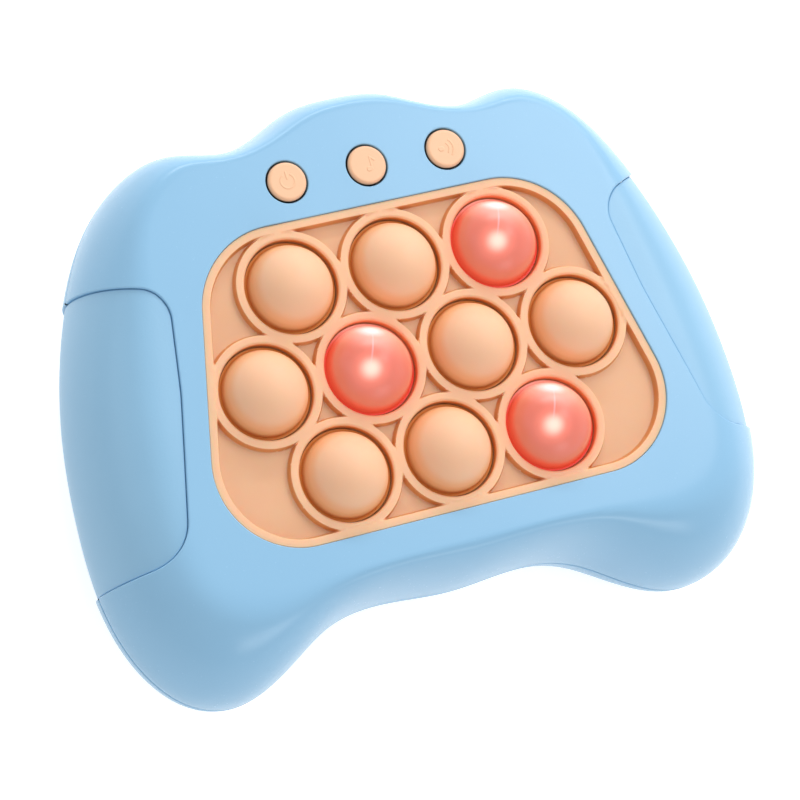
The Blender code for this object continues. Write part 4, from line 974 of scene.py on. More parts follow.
def along_line(start, end, s_first, v):
    """The s at which each row v meets the upright plane through start and end."""
    across = left_of(unit((end - start)[None]))[0]
    s = np.full(len(v), s_first, float)
    for _ in range(NEWTON_ROUNDS):
        miss = (body_points(s, v)[:, :2] - start) @ across
        slope = ((body_points(s + NEWTON_STEP, v)[:, :2] - start) @ across - miss) / NEWTON_STEP
        s = s - np.clip(miss / slope, -MOST_S, MOST_S)
    return s


def grip_loop(grow):
    """The right grip's closed loop: inner end, bottom, back of the inner end, top."""
    outline = rounded(GRIP_CORNERS, GRIP_RADII, grow, GRIP_OUTLINE_STEP)
    far = np.flatnonzero(outline[:, 0] > BEYOND_BODY)
    inner = np.roll(outline, -far[-1] - 1, axis=0)[: len(outline) - len(far)]
    inner = evenly(inner, GRIP_POINT_STEP, closed=False)
    front, back = to_surface(inner, 1), to_surface(inner, -1)

    def over_seam(end, corner):
        """From one end of the inner outline on the front, over the seam, to the back."""
        v = np.concatenate([np.linspace(front[end, 1], 1, FRONT_POINTS)[1:],
                            np.linspace(1, back[end, 1], BACK_POINTS)[1:-1]])
        return np.column_stack([along_line(inner[end], corner, front[end, 0], v), v])

    return np.vstack([front, over_seam(-1, outline[far[0]]), back[::-1],
                      over_seam(0, outline[far[-1]])[::-1]])


def mirrored(loop):
    """The same loop on the left side of the body."""
    return np.column_stack([COUNT - loop[:, 0], loop[:, 1]])


def one_side(loop, front):
    """The part of a loop in front of the seam, or behind it, from end to end."""
    kept = loop[:, 1] <= 1 if front else loop[:, 1] >= 1
    first = np.flatnonzero(kept & ~np.roll(kept, 1))[0]
    return np.roll(loop, -first, axis=0)[: kept.sum()]


EDGE = 0.3
RIGHT_CUT = grip_loop(EDGE)
LEFT_CUT = mirrored(RIGHT_CUT)
print("grip loop:", len(RIGHT_CUT), "points, s from", round(RIGHT_CUT[:, 0].min(), 2), "to",
      round(RIGHT_CUT[:, 0].max(), 2))

# %% [markdown]
# ## The front half of the case
#
# The front is a trimmed sheet that rolls from the face down to the seam, a flat face with the
# window and the three button holes in it, and a rounded edge round every opening. The edge along
# the seam stops where the grips are let in.

# %% Front half
WALL, SEAM_EDGE, WINDOW_EDGE = 2.0, 0.25, 0.25
FRONT_SEAM = SEAM / 2 + SEAM_EDGE
BUTTON_X, BUTTON_Y, BUTTON_RADIUS, BUTTON_GAP, BUTTON_HOLE_SIDES = 17.35, 39.1, 4.0, 0.4, 72
OPENINGS = [RIGHT_CUT, LEFT_CUT]


def case_edges(front, seam):
    """The rounded edges of one half: along the seam between the grips, and round both openings."""
    right, left = (cut[cut[:, 1] == 1, 0] for cut in OPENINGS)
    made = [loop_edge(cut, EDGE, WALL, seam=seam, part=one_side(cut, front)) for cut in OPENINGS]
    for first, last in ((right.max(), left.min()), (left.max(), right.min() + COUNT)):
        s = np.linspace(first, last, int((last - first) * PER_SPAN))
        v = np.ones(len(s))
        way = np.tile((0.0, 0.0, -1.0 if front else 1.0), (len(s), 1))
        made.append(swept_edge(body_points(s, v, seam), body_normals(s, v, seam), way, SEAM_EDGE,
                               WALL / 2, closed=False))
    return made


def flat_outline(v):
    """The plan of the whole ring of the body at one v."""
    return body_points(COLUMNS[:-1], np.full(len(COLUMNS) - 1, v))[:, :2]


button_hole = BUTTON_RADIUS + BUTTON_GAP + WINDOW_EDGE
holes = [window(WINDOW_EDGE)] + [circle((x, BUTTON_Y), button_hole, BUTTON_HOLE_SIDES)
                                 for x in (-BUTTON_X, 0, BUTTON_X)]
front = [rolled_sheet(FRONT_ROWS, OPENINGS, FRONT_SEAM),
         flat_sheet(flat_outline(-1.0), holes, DEPTH)]
front += [flat_edge(hole, DEPTH, WINDOW_EDGE, WALL) for hole in holes]
front += case_edges(True, FRONT_SEAM)
make_piece("front_case", front, case_plastic, "case", ["front_shell"])

# %% [markdown]
# ## The back half of the case
#
# The back closes the case and carries the works. It has a recess for the battery door, seven holes
# for the sound, and four deep round sinks in which the case screws sit. Two of the sinks lie where
# the back starts to roll up to the seam, so they are cut in the rolled sheet.

# %% Back half
DOOR_LOW_LEFT, DOOR_HIGH_RIGHT = (-26.5, -21.15), (26.5, 13.15)
TONGUE_TIP, TONGUE_LOW, TONGUE_HIGH, DOOR_GAP = 33.5, -8.0, 0.0, 0.3
BOX_LOW_LEFT, BOX_HIGH_RIGHT, LEDGE, BOX_CEILING = (-26.0, -20.65), (26.0, 12.65), 2.5, 13.3
HOOKS, DOOR_SCREW = (1.5, -9.5), (30.0, -4.0)
HOOK_SLOT_HALF, HOOK_SLOT_LOW, HOOK_SLOT_HIGH, HOOK_SLOT_DEEP = 2.3, 3.4, 5.2, 1.8
CASE_SCREWS = ((41.0, 40.0), (-41.0, 40.0), (47.0, -40.5), (-47.0, -40.5))
SINK_RADIUS, SINK_DEPTH, HOLE_EDGE, FINE_EDGE, FINEST_EDGE = 2.9, 5.0, 0.25, 0.1, 0.05
SCREW_BORE, SCREW_BORE_DEPTH, BOX_ROUND = 1.5, 6.0, 0.5
DOOR_RADII = (1.2, 1.2, 0.8, 1.0, 1.0, 0.8, 1.2, 1.2)
DOOR_STEP, FINE_STEP, SIDE_STEP = 0.3, 0.1, 1.0
HOLE_SIDES, SINK_SIDES = 28, 48
SPEAKER_Y, VENT_RING, VENT_RADIUS = 30.77, 4.2, 1.2


def back_edge(outline, depth, height=0.0):
    """The rounded edge of a hole that goes up into the part from the back."""
    return flat_edge(outline, height, HOLE_EDGE, depth - HOLE_EDGE, -1.0)


def back_sheet(outer, holes, height):
    """A flat sheet that faces down."""
    return flat_sheet(outer, holes, height, -1.0)


def door_outline(grow):
    """The battery door seen from the front: a plate with a tongue on its right."""
    (left, low), (right, high) = DOOR_LOW_LEFT, DOOR_HIGH_RIGHT
    corners = ((left, low), (right, low), (right, TONGUE_LOW), (TONGUE_TIP, TONGUE_LOW),
               (TONGUE_TIP, TONGUE_HIGH), (right, TONGUE_HIGH), (right, high), (left, high))
    return evenly(rounded(corners, DOOR_RADII, grow, DOOR_STEP), SIDE_STEP)


def rectangle(low, high, radius=0.2):
    """A rectangle with slightly rounded corners, from its low corner to its high one."""
    corners = (low, (high[0], low[1]), high, (low[0], high[1]))
    return evenly(rounded(corners, (radius,) * 4, 0.0, FINE_STEP), SIDE_STEP)


def facing_right(sheet):
    """A sheet drawn in y and z, with its height as x: the three axes change places in turn."""
    points, normals, triangles = sheet
    return points[:, [2, 0, 1]], normals[:, [2, 0, 1]], triangles


recess = door_outline(DOOR_GAP + HOLE_EDGE)
battery_box = rectangle(BOX_LOW_LEFT, BOX_HIGH_RIGHT, BOX_ROUND)
screw_bore = circle(DOOR_SCREW, SCREW_BORE, HOLE_SIDES)
sinks = [circle(place, SINK_RADIUS + HOLE_EDGE, SINK_SIDES) for place in CASE_SCREWS]
high_sink = to_surface(sinks[0], -1)
high_sinks = [high_sink, mirrored(high_sink)]
vents = [circle(middle, VENT_RADIUS + HOLE_EDGE, HOLE_SIDES)
         for middle in [(0, SPEAKER_Y), *circle((0, SPEAKER_Y), VENT_RING, 6)]]
back = [
    rolled_sheet(BACK_ROWS, OPENINGS + high_sinks, -FRONT_SEAM),
    back_sheet(flat_outline(3.0), [recess] + sinks[2:] + vents, 0.0),
    back_edge(recess, LEDGE),
    back_sheet(door_outline(DOOR_GAP), [battery_box, screw_bore], LEDGE),
    flat_edge(battery_box, LEDGE, FINE_EDGE, BOX_CEILING - LEDGE, -1.0),
    back_sheet(battery_box, [], BOX_CEILING),
    flat_edge(screw_bore, LEDGE, FINE_EDGE, SCREW_BORE_DEPTH, -1.0),
]
for y in HOOKS:
    slot = rectangle((y - HOOK_SLOT_HALF, HOOK_SLOT_LOW), (y + HOOK_SLOT_HALF, HOOK_SLOT_HIGH))
    wall = BOX_LOW_LEFT[0]
    back += [facing_right(flat_edge(slot, wall + FINEST_EDGE, FINEST_EDGE, HOOK_SLOT_DEEP)),
             facing_right(flat_sheet(slot, [], wall - HOOK_SLOT_DEEP))]
back += case_edges(False, -FRONT_SEAM)
for loop, way in zip(high_sinks, (1, -1)):
    rim = body_points(*loop.T, -FRONT_SEAM)[::way]
    back.append(back_edge(rim[:, :2], SINK_DEPTH, rim[:, 2]))
back += [back_edge(sink, SINK_DEPTH) for sink in sinks[2:]]
back += [back_sheet(circle(place, SINK_RADIUS, SINK_SIDES), [], SINK_DEPTH)
         for place in CASE_SCREWS]
back += [back_edge(vent, WALL) for vent in vents]
make_piece("back_case", back, case_plastic, "case", ["rear_shell"])

# %% [markdown]
# ## The side grips
#
# A grip is a panel of the same curved body, set half a millimetre lower than the case, with a
# narrow groove round it. It is one piece from the front to the back, across the seam, so one sheet
# inside one loop makes it.

# %% Grips
GRIP_STEP, FIT, GRIP_EDGE, GRIP_WALL = 0.5, 0.08, 0.3, 2.6
right_loop = grip_loop(-FIT - GRIP_EDGE)
for side, loop in (("right", right_loop), ("left", mirrored(right_loop))):
    grip = [rolled_panel(loop, GRIP_STEP),
            loop_edge(loop, GRIP_EDGE, GRIP_WALL, inset=GRIP_STEP, outer=True)]
    make_piece(f"{side}_side_grip", grip, grip_plastic, "case", [f"{side}_grip"])

# %% [markdown]
# ## Turned pieces
#
# Bubbles, buttons and screw heads are turned: a profile of (radius, height) goes round an axis.
# Each profile is a chain of points, and its normals are square to the chain. At a sharp edge the
# profile has the same point twice.

# %% Turn a profile
def turned(profile, middle, sides):
    """A profile of (radius, height) points, top first, carried round an upright axis."""
    profile = np.array(profile, float)
    turns = circle((0, 0), 1.0, sides)

    def carried(rows, centre):
        """Rows of (outward, up) taken round the axis."""
        level = np.repeat(rows[:, 1:], sides, axis=1)[:, :, None]
        return np.dstack([centre + rows[:, :1, None] * turns, level]).reshape(-1, 3)

    normal = unit(left_of(np.gradient(profile, axis=0)))
    return carried(profile, middle), carried(normal, (0, 0)), strip(len(profile), sides, True)


def arc(middle, radius, start, end, count):
    """Points on an arc of a profile, with angles in degrees from the outward radius."""
    angles = np.radians(np.linspace(start, end, count))
    return [(middle[0] + radius * math.cos(a), middle[1] + radius * math.sin(a)) for a in angles]


def sharp(*corners):
    """Each corner of a profile twice, which keeps its edge sharp."""
    return [corner for corner in corners for _ in range(2)]


print("points of a cylinder's profile:", len(sharp((1, 1), (1, 0))))

# %% [markdown]
# ## The silicone pad
#
# The pad is one moulding: a low floor, a flat ring round each bubble and a rim along the window.
# Where rings meet, they flow into one another. That is easiest as a height over the plan: each
# ring and the rim is a plateau between 0 and 1 with a steep smooth side, and the plateaus are
# joined as 1 minus the product of what each leaves over.

# %% Pad height
PITCH, GRID_Y = 22.4, -1.1
RING_IN, RING_OUT, RING_TOP, RIM_TOP, FLOOR, GROOVE = 9.6, 11.6, 36.5, 36.7, 35.1, 34.9
SLOPE_HALF, RIM_WIDE, PAD_GAP, PAD_EDGE, BORE_EDGE = 0.3, 1.9, 0.05, 0.15, 0.65
PAD_WALL, BORE_WALL, RIM_STEP, PAD_STEP = 2.4, 3.1, 0.3, 0.5
BORE_SIDES, RING_SIDES, MID_SIDES = 120, 150, 110
BORE, MID_RING = RING_IN + BORE_EDGE, 10.7
# How near free points come to the outline, to a bore and to the side of a ring.
CLEAR_OF_RIM, CLEAR_OF_BORE, CLEAR_OF_SIDE = 0.15, 0.25, 1.2 * SLOPE_HALF
PLAN_X, PLAN_Y = np.arange(-54, 54, 1.5), np.arange(-34, 33, 1.5)
# Under each ring a thin sleeve of the same silicone lines the way that its bubble goes down.
SLEEVE = [(9.40, 30.0), (9.40, 34.6), (9.6, 34.85)]
BUBBLES = [(PITCH * (k - (count - 1) / 2), GRID_Y + PITCH * math.sin(math.radians(60)) * (1 - row))
           for row, count in enumerate((3, 4, 3)) for k in range(count)]
RIM_LINE = rounded(WINDOW_CORNERS, WINDOW_RADII)


def distance_in(points, loop):
    """The distance of each point from the nearest side of a loop of edges."""
    least = np.full(len(points), np.inf)
    for here, there in zip(loop, np.roll(loop, -1, axis=0)):
        way = there - here
        t = np.clip(((points - here) @ way) / (way @ way), 0, 1)
        least = np.minimum(least, np.linalg.norm(points - here - t[:, None] * way, axis=1))
    return least


def pad_height(points):
    """Floor + ring plateaus + rim plateau, each with a smooth side of twice SLOPE_HALF."""
    left_over = np.ones(len(points))
    for middle in BUBBLES:
        away = np.linalg.norm(points - middle, axis=1)
        left_over *= 1 - smooth((RING_OUT + SLOPE_HALF - away) / (2 * SLOPE_HALF))
    rim = smooth((RIM_WIDE + SLOPE_HALF - distance_in(points, RIM_LINE)) / (2 * SLOPE_HALF))
    rings = (1 - left_over) * (RING_TOP - FLOOR)
    rim = rim * (RIM_TOP - FLOOR)
    return FLOOR + rings + rim - rings * rim / (RIM_TOP - FLOOR)


def pad_sheet(outline, bores):
    """The pad's top, denser on the sides of the plateaus, with a hole for each bubble."""
    offsets = np.linspace(-1, 1, 9) * SLOPE_HALF
    free = [circle(middle, RING_OUT + offset, RING_SIDES) for middle in BUBBLES
            for offset in offsets]
    free += [circle(middle, MID_RING, MID_SIDES) for middle in BUBBLES]
    rim = window(-RIM_WIDE, RIM_STEP)
    free += [rim - offset * left_of(unit(around(rim))) for offset in offsets]
    free = np.vstack(free + [grid(PLAN_X, PLAN_Y)])
    kept = inside(free, outline) & (distance_in(free, outline) > CLEAR_OF_RIM)
    for middle in BUBBLES:
        away = np.linalg.norm(free - middle, axis=1)
        on_ring = (away < RING_OUT - CLEAR_OF_SIDE) & (np.abs(away - MID_RING) > 0.01)
        kept &= ~on_ring & (away > BORE + CLEAR_OF_BORE)
    points, triangles = triangulate(free[kept], outline, bores)
    return raised_sheet(points, triangles, pad_height)


rim_edge = window(-PAD_GAP - PAD_EDGE, PAD_STEP)
bores = [circle(middle, BORE, BORE_SIDES) for middle in BUBBLES]
pad = [pad_sheet(rim_edge, bores),
       flat_edge(rim_edge, pad_height(rim_edge), PAD_EDGE, PAD_WALL, outer=True)]
for middle, bore in zip(BUBBLES, bores):
    pad.append(flat_edge(bore, pad_height(bore), BORE_EDGE, BORE_WALL))
    pad.append(turned(SLEEVE, middle, BORE_SIDES))
make_piece("silicone_pad", pad, pad_silicone, "case", ["bubble_pad"])

# %% [markdown]
# ## The bubbles
#
# A bubble is a cap of a sphere that stands in its ring, with a narrow groove round its foot. A
# small fillet joins the dome to the floor of the groove, as the mould would.

# %% Bubbles
DOME_FOOT, DOME_HEIGHT, FOOT_FILLET, DOME_OUT, DOME_SIDES = 8.8, 7.8, 0.35, 9.36, 120
NEARLY_UP = 89.99
DOME_RADIUS = (DOME_FOOT**2 + DOME_HEIGHT**2) / (2 * DOME_HEIGHT)


def bubble_profile():
    """From the apex down the sphere, round the fillet and out over the groove's floor."""
    centre = GROOVE + DOME_HEIGHT - DOME_RADIUS
    fillet_height = GROOVE + FOOT_FILLET
    reach = DOME_RADIUS + FOOT_FILLET
    fillet_x = math.sqrt(reach**2 - (fillet_height - centre) ** 2)
    touch = math.degrees(math.atan2(fillet_height - centre, fillet_x))
    dome = arc((0, centre), DOME_RADIUS, NEARLY_UP, touch, 48)
    foot = arc((fillet_x, fillet_height), FOOT_FILLET, 180 + touch, 270, 8)
    return dome + foot[1:] + [(DOME_OUT, GROOVE)]


profile = bubble_profile()
for number, middle in enumerate(BUBBLES, 1):
    name = f"{number:02d}"
    lit = name in LIT_NUMBERS
    dome = make_piece(f"dome_{name}", [turned(profile, middle, DOME_SIDES)],
                      glow_silicone if lit else bubble_silicone, f"bubble_{name}_body",
                      [f"bubble_{name}"])
    add_plan_uv(dome, middle)

# %% [markdown]
# ## The buttons
#
# Each button is a small round cap with a rounded edge, a flange that keeps it behind the case and
# a stem that reaches down to the switch. Its top carries a faint raised sign: a broken ring with a
# bar for on and off, a note for sound, and two arcs for louder. The signs are a height added to
# the top's grid of points, so they grow out of the surface with soft sides.

# %% Signs as heights
def to_stroke(points, start, end):
    """The distance of each point from a straight stroke."""
    start, way = np.array(start), np.array(end) - np.array(start)
    t = np.clip((points - start) @ way / (way @ way), 0, 1)
    return np.linalg.norm(points - start - t[:, None] * way, axis=1)


def to_arc(points, radius, low, high, middle=(0.0, 0.0)):
    """The distance of each point from an arc between two angles in degrees."""
    near = points - np.array(middle)
    angle = np.degrees(np.arctan2(near[:, 1], near[:, 0]))
    way = np.radians(np.clip(np.where(angle < low - 20, angle + 360, angle), low, high))
    return np.linalg.norm(near - radius * np.column_stack([np.cos(way), np.sin(way)]), axis=1)


def power_sign(points):
    """A broken ring with a bar in its gap."""
    return np.minimum(to_arc(points, 1.5, 125, 415), to_stroke(points, (0, 0.5), (0, 1.9)))


def note_sign(points):
    """A stem, its flag and a thick head."""
    return np.minimum.reduce([to_stroke(points, (0.75, -1.0), (0.75, 1.5)),
                              to_stroke(points, (0.75, 1.5), (1.6, 0.7)),
                              to_stroke(points, (0.05, -1.0), (0.35, -0.95)) - 0.3])


def louder_sign(points):
    """A thick dot and two waves."""
    return np.minimum.reduce([to_arc(points, 1.3, -45, 45, (-0.6, 0)),
                              to_arc(points, 2.2, -45, 45, (-0.6, 0)),
                              to_stroke(points, (-1.2, 0.0), (-0.9, 0.0)) - 0.3])


print("signs:", [sign.__name__ for sign in (power_sign, note_sign, louder_sign)])

# %% Buttons
CAP_TOP, CAP_EDGE, STROKE_HALF, STROKE_SIDE, SIGN_HEIGHT = 37.5, 0.6, 0.16, 0.08, 0.09
FLANGE_RADIUS, FLANGE_TOP, FLANGE_LOW, STEM_RADIUS, STEM_LOW = 5.3, 34.7, 34.0, 2.2, 28.2
AXIS, CAP_SIDES, CLEAR_OF_EDGE = 0.01, 96, 0.06
CAP_GRID = np.arange(-3.4, 3.41, 0.1)
FLAT_RADIUS = BUTTON_RADIUS - CAP_EDGE
skirt = (arc((FLAT_RADIUS, CAP_TOP - CAP_EDGE), CAP_EDGE, 90, 0, 8)
         + sharp((BUTTON_RADIUS, FLANGE_TOP), (FLANGE_RADIUS, FLANGE_TOP),
                 (FLANGE_RADIUS, FLANGE_LOW), (STEM_RADIUS, FLANGE_LOW), (STEM_RADIUS, STEM_LOW))
         + [(AXIS, STEM_LOW)])


def cap_top(middle, sign):
    """The cap's top: a plain disc of close points, raised by the sign with a smooth side."""
    free = grid(CAP_GRID, CAP_GRID)
    free = free[np.hypot(*free.T) < FLAT_RADIUS - CLEAR_OF_EDGE]
    points, triangles = triangulate(free, circle((0, 0), FLAT_RADIUS, CAP_SIDES))

    def height(at):
        """The height of the sign over the top."""
        return SIGN_HEIGHT * smooth((STROKE_HALF + STROKE_SIDE - sign(at)) / (2 * STROKE_SIDE))

    return raised_sheet(points, triangles, height, middle, CAP_TOP)


for side, x, sign in (("left", -BUTTON_X, power_sign), ("middle", 0.0, note_sign),
                      ("right", BUTTON_X, louder_sign)):
    cap = [turned(skirt, (x, BUTTON_Y), CAP_SIDES), cap_top((x, BUTTON_Y), sign)]
    make_piece(f"{side}_button_cap", cap, button_plastic, f"{side}_button_body",
               [f"{side}_button"])

# %% [markdown]
# ## Rubber boots under the buttons
#
# A button's stem rests on a small rubber boot on the board. When the button goes down, the boot
# gives way. The boot stays on the case.

# %% Boots
BUTTON_TRAVEL, BOOT_TOP, BOOT_ROUND, BOOT_SIDES = 1.0, 2.3, 0.3, 48
BOOT_SKIRT = ((3.1, 0.9), (3.3, 0.65), (4.2, 0.6), (4.4, 0.4))  # radius, height over the board


def node_box(name):
    """The low and high corner of a CAD node in millimetres."""
    return [np.array(corner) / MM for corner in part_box(name)]


for side in ("left", "middle", "right"):
    low, high = node_box(f"{side}_button_boot")
    (x, y), base, top = (low[:2] + high[:2]) / 2, low[2], high[2]
    boot = ([(AXIS, top), (STEM_RADIUS, top)]
            + arc((BOOT_TOP, top - BOOT_ROUND), BOOT_ROUND, 90, 10, 4)
            + [(radius, base + up) for radius, up in BOOT_SKIRT]
            + sharp((BOOT_SKIRT[-1][0], base)) + [(AXIS, base)])
    piece = make_piece(f"{side}_rubber_boot", [turned(boot, (x, y), BOOT_SIDES)], boot_rubber,
                       "case", [f"{side}_button_boot"])
    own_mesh(piece)

# %% [markdown]
# ## The battery door
#
# The door is a plate with a tongue. Two hooks hold its left edge and one screw its tongue, and
# some shallow grooves give the thumb a hold. It is the same surface language as the case: flat
# sheets with rounded edges, here closed on both sides, because the door can swing open.

# %% Door
PLATE_LOW, PLATE_TOP = 0.2, 2.2
HEAD_RADIUS, HEAD_DEPTH, SHANK_HOLE, HEAD_SIDES = 2.6, 1.3, 1.3, 40
GROOVE_EDGE, GROOVE_DEPTH, GROOVES_X = 0.2, 0.5, (11, 13.5, 16, 18.5, 21)
GROOVE_HALF, GROOVE_LOW, GROOVE_HIGH, GROOVE_ROUND = 0.7, -9.0, 1.0, 0.65
HOOK_HALF, HOOK_EDGE, HOOK_RADII = 2.0, 0.15, (0.1, 0.3, 0.3, 0.3, 0.3, 0.1)
HOOK_CORNERS = ((-24.3, 2.1), (-24.3, 4.9), (-27.7, 4.9), (-27.7, 3.7), (-25.7, 3.7), (-25.7, 2.1))


def standing(sheet):
    """A sheet drawn in x and z, with its height as minus y: a quarter turn about x."""
    points, normals, triangles = sheet
    turn = np.array([[1.0, 0, 0], [0, 0, 1.0], [0, -1.0, 0]])
    return points @ turn, normals @ turn, triangles


def hook(y):
    """An L-shaped hook of the door, with rounded edges on one side."""
    outline, slim = (evenly(rounded(HOOK_CORNERS, HOOK_RADII, grow, FINE_STEP), SIDE_STEP / 2)
                     for grow in (0.0, -HOOK_EDGE))
    near = HOOK_HALF - y
    return [standing(sheet) for sheet in (
        flat_sheet(slim, [], near),
        flat_edge(slim, near, HOOK_EDGE, 2 * HOOK_HALF - HOOK_EDGE, outer=True),
        back_sheet(outline, [], -HOOK_HALF - y))]


def thumb_groove(x, inset=0.0):
    """The outline of one thumb groove, or of its floor."""
    half = GROOVE_HALF - inset
    return rectangle((x - half, GROOVE_LOW + inset), (x + half, GROOVE_HIGH - inset),
                     GROOVE_ROUND - inset)


plate = door_outline(-HOLE_EDGE)
sink = circle(DOOR_SCREW, HEAD_RADIUS + HOLE_EDGE, HEAD_SIDES)
hole = circle(DOOR_SCREW, SHANK_HOLE, HOLE_SIDES)
head_seat = PLATE_LOW + HEAD_DEPTH
door = [
    back_sheet(plate, [sink] + [thumb_groove(x) for x in GROOVES_X], PLATE_LOW),
    flat_edge(plate, PLATE_LOW, HOLE_EDGE, PLATE_TOP - PLATE_LOW - HOLE_EDGE, -1.0, outer=True),
    flat_sheet(door_outline(0.0), [hole], PLATE_TOP),
    back_edge(sink, HEAD_DEPTH, PLATE_LOW),
    back_sheet(circle(DOOR_SCREW, HEAD_RADIUS, HEAD_SIDES), [hole], head_seat),
    flat_edge(hole, head_seat, FINEST_EDGE, PLATE_TOP - head_seat - FINEST_EDGE, -1.0),
]
for x in GROOVES_X:
    door += [flat_edge(thumb_groove(x), PLATE_LOW, GROOVE_EDGE, GROOVE_DEPTH - GROOVE_EDGE, -1.0),
             back_sheet(thumb_groove(x, GROOVE_EDGE), [], PLATE_LOW + GROOVE_DEPTH)]
for y in HOOKS:
    door += hook(y)
make_piece("battery_cover", door, case_plastic, "door", ["battery_door"])

# %% [markdown]
# ## Screws
#
# The screws are pan-headed and cut their own thread in the plastic. The head has a cross for the
# driver, which is a hole in its face with a wall and a floor. The thread is a row of ridges on
# the shank; a true helix would look the same from outside.

# %% Screws
THREAD_PITCH, THREAD_ENDS, TIP_LENGTH, TIP_POINT = 0.45, 0.5, 0.6, 0.2
CROSS_EDGE, CROSS_STEP = 0.04, 0.05
TIP_SHARE, VALLEY_SHARE, CROSS_RADII = 0.4, 0.8, (0.08, 0.08, 0.04) * 4
CASE_SCREW, COVER_SCREW = (1.2, 1.8), (1.0, 0.9)  # radius of the shank, height of the head
PAN_SHARES = ((1.0, 1.0), (1.0, 1.0), (1.0, 0.45), (0.93, 0.16), (0.72, 0.0), (0.72, 0.0))
CROSS_REACH, CROSS_HALF, CROSS_DEPTH = 0.56, 0.15, 0.6  # shares of the head's radius and height


def cross(middle, reach, half):
    """The outline of a cross with arms of a given reach and half width."""
    a, b = half, reach
    corners = ((b, -a), (b, a), (a, a), (a, b), (-a, b), (-a, a), (-b, a), (-b, -a), (-a, -a),
               (-a, -b), (a, -b), (a, -a))
    outline = rounded(np.array(corners) + np.array(middle), CROSS_RADII, 0.0, CROSS_STEP)
    return evenly(outline, SIDE_STEP)


def make_screw(node, body, shank, head_height):
    """A screw in its CAD node's place: the tip up, the head and its cross below."""
    low, high = node_box(node)
    middle, radius = (low[:2] + high[:2]) / 2, (high[0] - low[0]) / 2
    face, seat, tip = low[2], low[2] + head_height, high[2]
    valley = VALLEY_SHARE * shank
    ridges = np.arange(tip - TIP_LENGTH, seat + THREAD_ENDS, -THREAD_PITCH)
    profile = ([(AXIS, tip), (TIP_SHARE * shank, tip - TIP_POINT)]
               + [(shank if k % 2 else valley, z) for k, z in enumerate(ridges)]
               + sharp((valley, seat))
               + [(out * radius, face + up * head_height) for out, up in PAN_SHARES])
    star = cross(middle, CROSS_REACH * radius, CROSS_HALF * radius)
    floor = face + CROSS_DEPTH * head_height
    sheets = [turned(profile, middle, HEAD_SIDES),
              back_sheet(circle(middle, PAN_SHARES[-1][0] * radius, HEAD_SIDES), [star], face),
              flat_edge(star, face, CROSS_EDGE, floor - face, -1.0), back_sheet(star, [], floor)]
    make_piece(f"{node}_turned", sheets, zinc_steel, body, [node])


for number in range(1, 5):
    make_screw(f"case_screw_{number}", "case", *CASE_SCREW)
make_screw("battery_door_screw", "door", *COVER_SCREW)

# %% [markdown]
# ## Finishes for the works
#
# The parts inside keep their CAD shapes and get real finishes: clear acrylic light cups, epoxy
# lamps, a green board with copper tracks under its lacquer, nickelled contacts, sleeved cells and
# PVC leads.

# %% Give the inner parts their finishes
# Part of a node's name and its finish. Where two rows fit a node, the later one counts.
FINISHES = (("light_cup_", clear_acrylic), ("led_", epoxy_lens), ("pad_frame", white_plastic),
            ("circuit_board", board_laminate), ("speaker", speaker_cone),
            ("battery_1", cell_sleeve), ("battery_2", cell_sleeve), ("battery_3", cell_sleeve),
            ("_end_", nickel_steel), ("wire_red", red_pvc), ("wire_black", black_pvc),
            ("speaker_cable", black_pvc))
given = set()
for part, material in FINISHES:
    for name in frame["nodes"]:
        if part in name:
            given.add(name)
            for slot in frame["nodes"][name].material_slots:
                slot.material = material
print("inner parts finished:", len(given))

# %% [markdown]
# ## Floor, light and background
#
# A product photograph of this kind is taken in a white tent: one large soft lamp, here high on the
# right and behind the game, and weaker light from all round. The floor and the surroundings look
# white to the camera, and the lamps stay at a level at which the colours render as they are
# written.

# %% Studio
FLOOR_REACH, LAMPS_AIM = 3.0, (0, 0, 0.02)
LAMPS = (  # name, place, width and height in metres, watts
    ("key lamp", (0.93, 0.82, 0.84), 0.8, 0.8, 5.8),
    ("overhead lamp", (0.50, 0.22, 0.85), 0.3, 0.3, 1.6),
    ("edge lamp", (0.27, 1.12, 0.60), 0.7, 0.06, 4.4),
    ("side lamp", (-1.03, 0.38, 0.47), 0.35, 0.06, 0.3),
    ("front lamp", (0.23, -1.09, 0.44), 0.6, 0.3, 1.8))


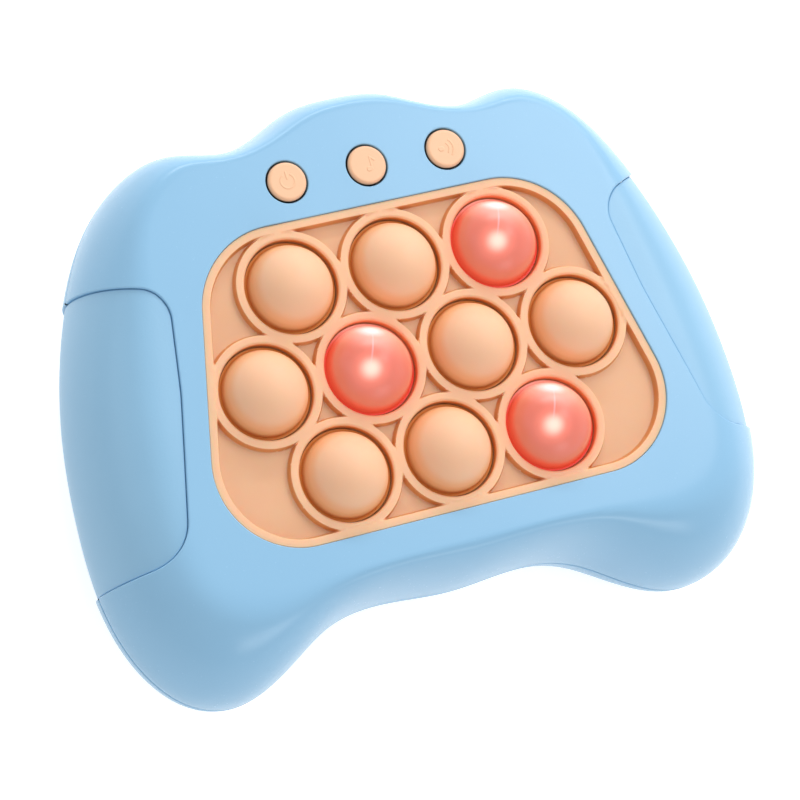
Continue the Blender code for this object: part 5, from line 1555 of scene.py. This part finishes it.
def seen_directly(holder, hidden, shown):
    """One value for light that falls on the object, another where camera or gloss looks."""
    path = add(holder, "LightPath", {})
    direct = add(holder, "Math", {"operation": "MAXIMUM"}, (0, path, "Is Camera Ray"),
                 (1, path, "Is Glossy Ray"))
    direct = add(holder, "Math", {"operation": "MAXIMUM"}, (0, direct, "Value"),
                 (1, path, "Is Transmission Ray"))
    return add(holder, "MapRange", {"To Min": hidden, "To Max": shown}, ("Value", direct, "Value"))


corners = [(x * FLOOR_REACH, y * FLOOR_REACH, 0) for x, y in ((-1, -1), (1, -1), (1, 1), (-1, 1))]
floor_mesh = bpy.data.meshes.new("floor")
floor_mesh.from_pydata(corners, [], [(0, 1, 2, 3)])
floor = new_object("floor", floor_mesh)
floor_paint, _ = new_material("matt white studio paper")
paper = add(floor_paint, "BsdfPrincipled", {"Base Color": "#F4F4F4", "Roughness": 0.9})
lift = seen_directly(floor_paint, 0.0, 0.62)
white = add(floor_paint, "Emission", {"Color": "#FFFFFF"}, ("Strength", lift, "Result"))
seen = add(floor_paint, "AddShader", {}, (0, paper, "BSDF"), (1, white, "Emission"))
add(floor_paint, "OutputMaterial", {}, ("Surface", seen, "Shader"))
floor_mesh.materials.append(floor_paint)

for name, place, width, upright, watts in LAMPS:
    lamp_data = bpy.data.lights.new(name, "AREA")
    lamp_data.shape, lamp_data.energy = "RECTANGLE", watts
    lamp_data.size, lamp_data.size_y = width, upright
    lamp = new_object(name, lamp_data)
    lamp.location = place
    way = np.array(LAMPS_AIM) - np.array(place)
    lamp.rotation_euler = (math.atan2(math.hypot(way[0], way[1]), -way[2]), 0,
                           math.atan2(way[1], way[0]) - QUARTER)

world = bpy.data.worlds.new("white tent")
world.use_nodes = True
bpy.context.scene.world = world
sky = world.node_tree.nodes["Background"]
sky.inputs["Color"].default_value = linear("#FFFFFF")
glow = seen_directly(world, 0.60, 1.0)
world.node_tree.links.new(glow.outputs["Result"], sky.inputs["Strength"])
bpy.context.scene.view_settings.view_transform = "Standard"
print("lamps:", len(bpy.data.lights))
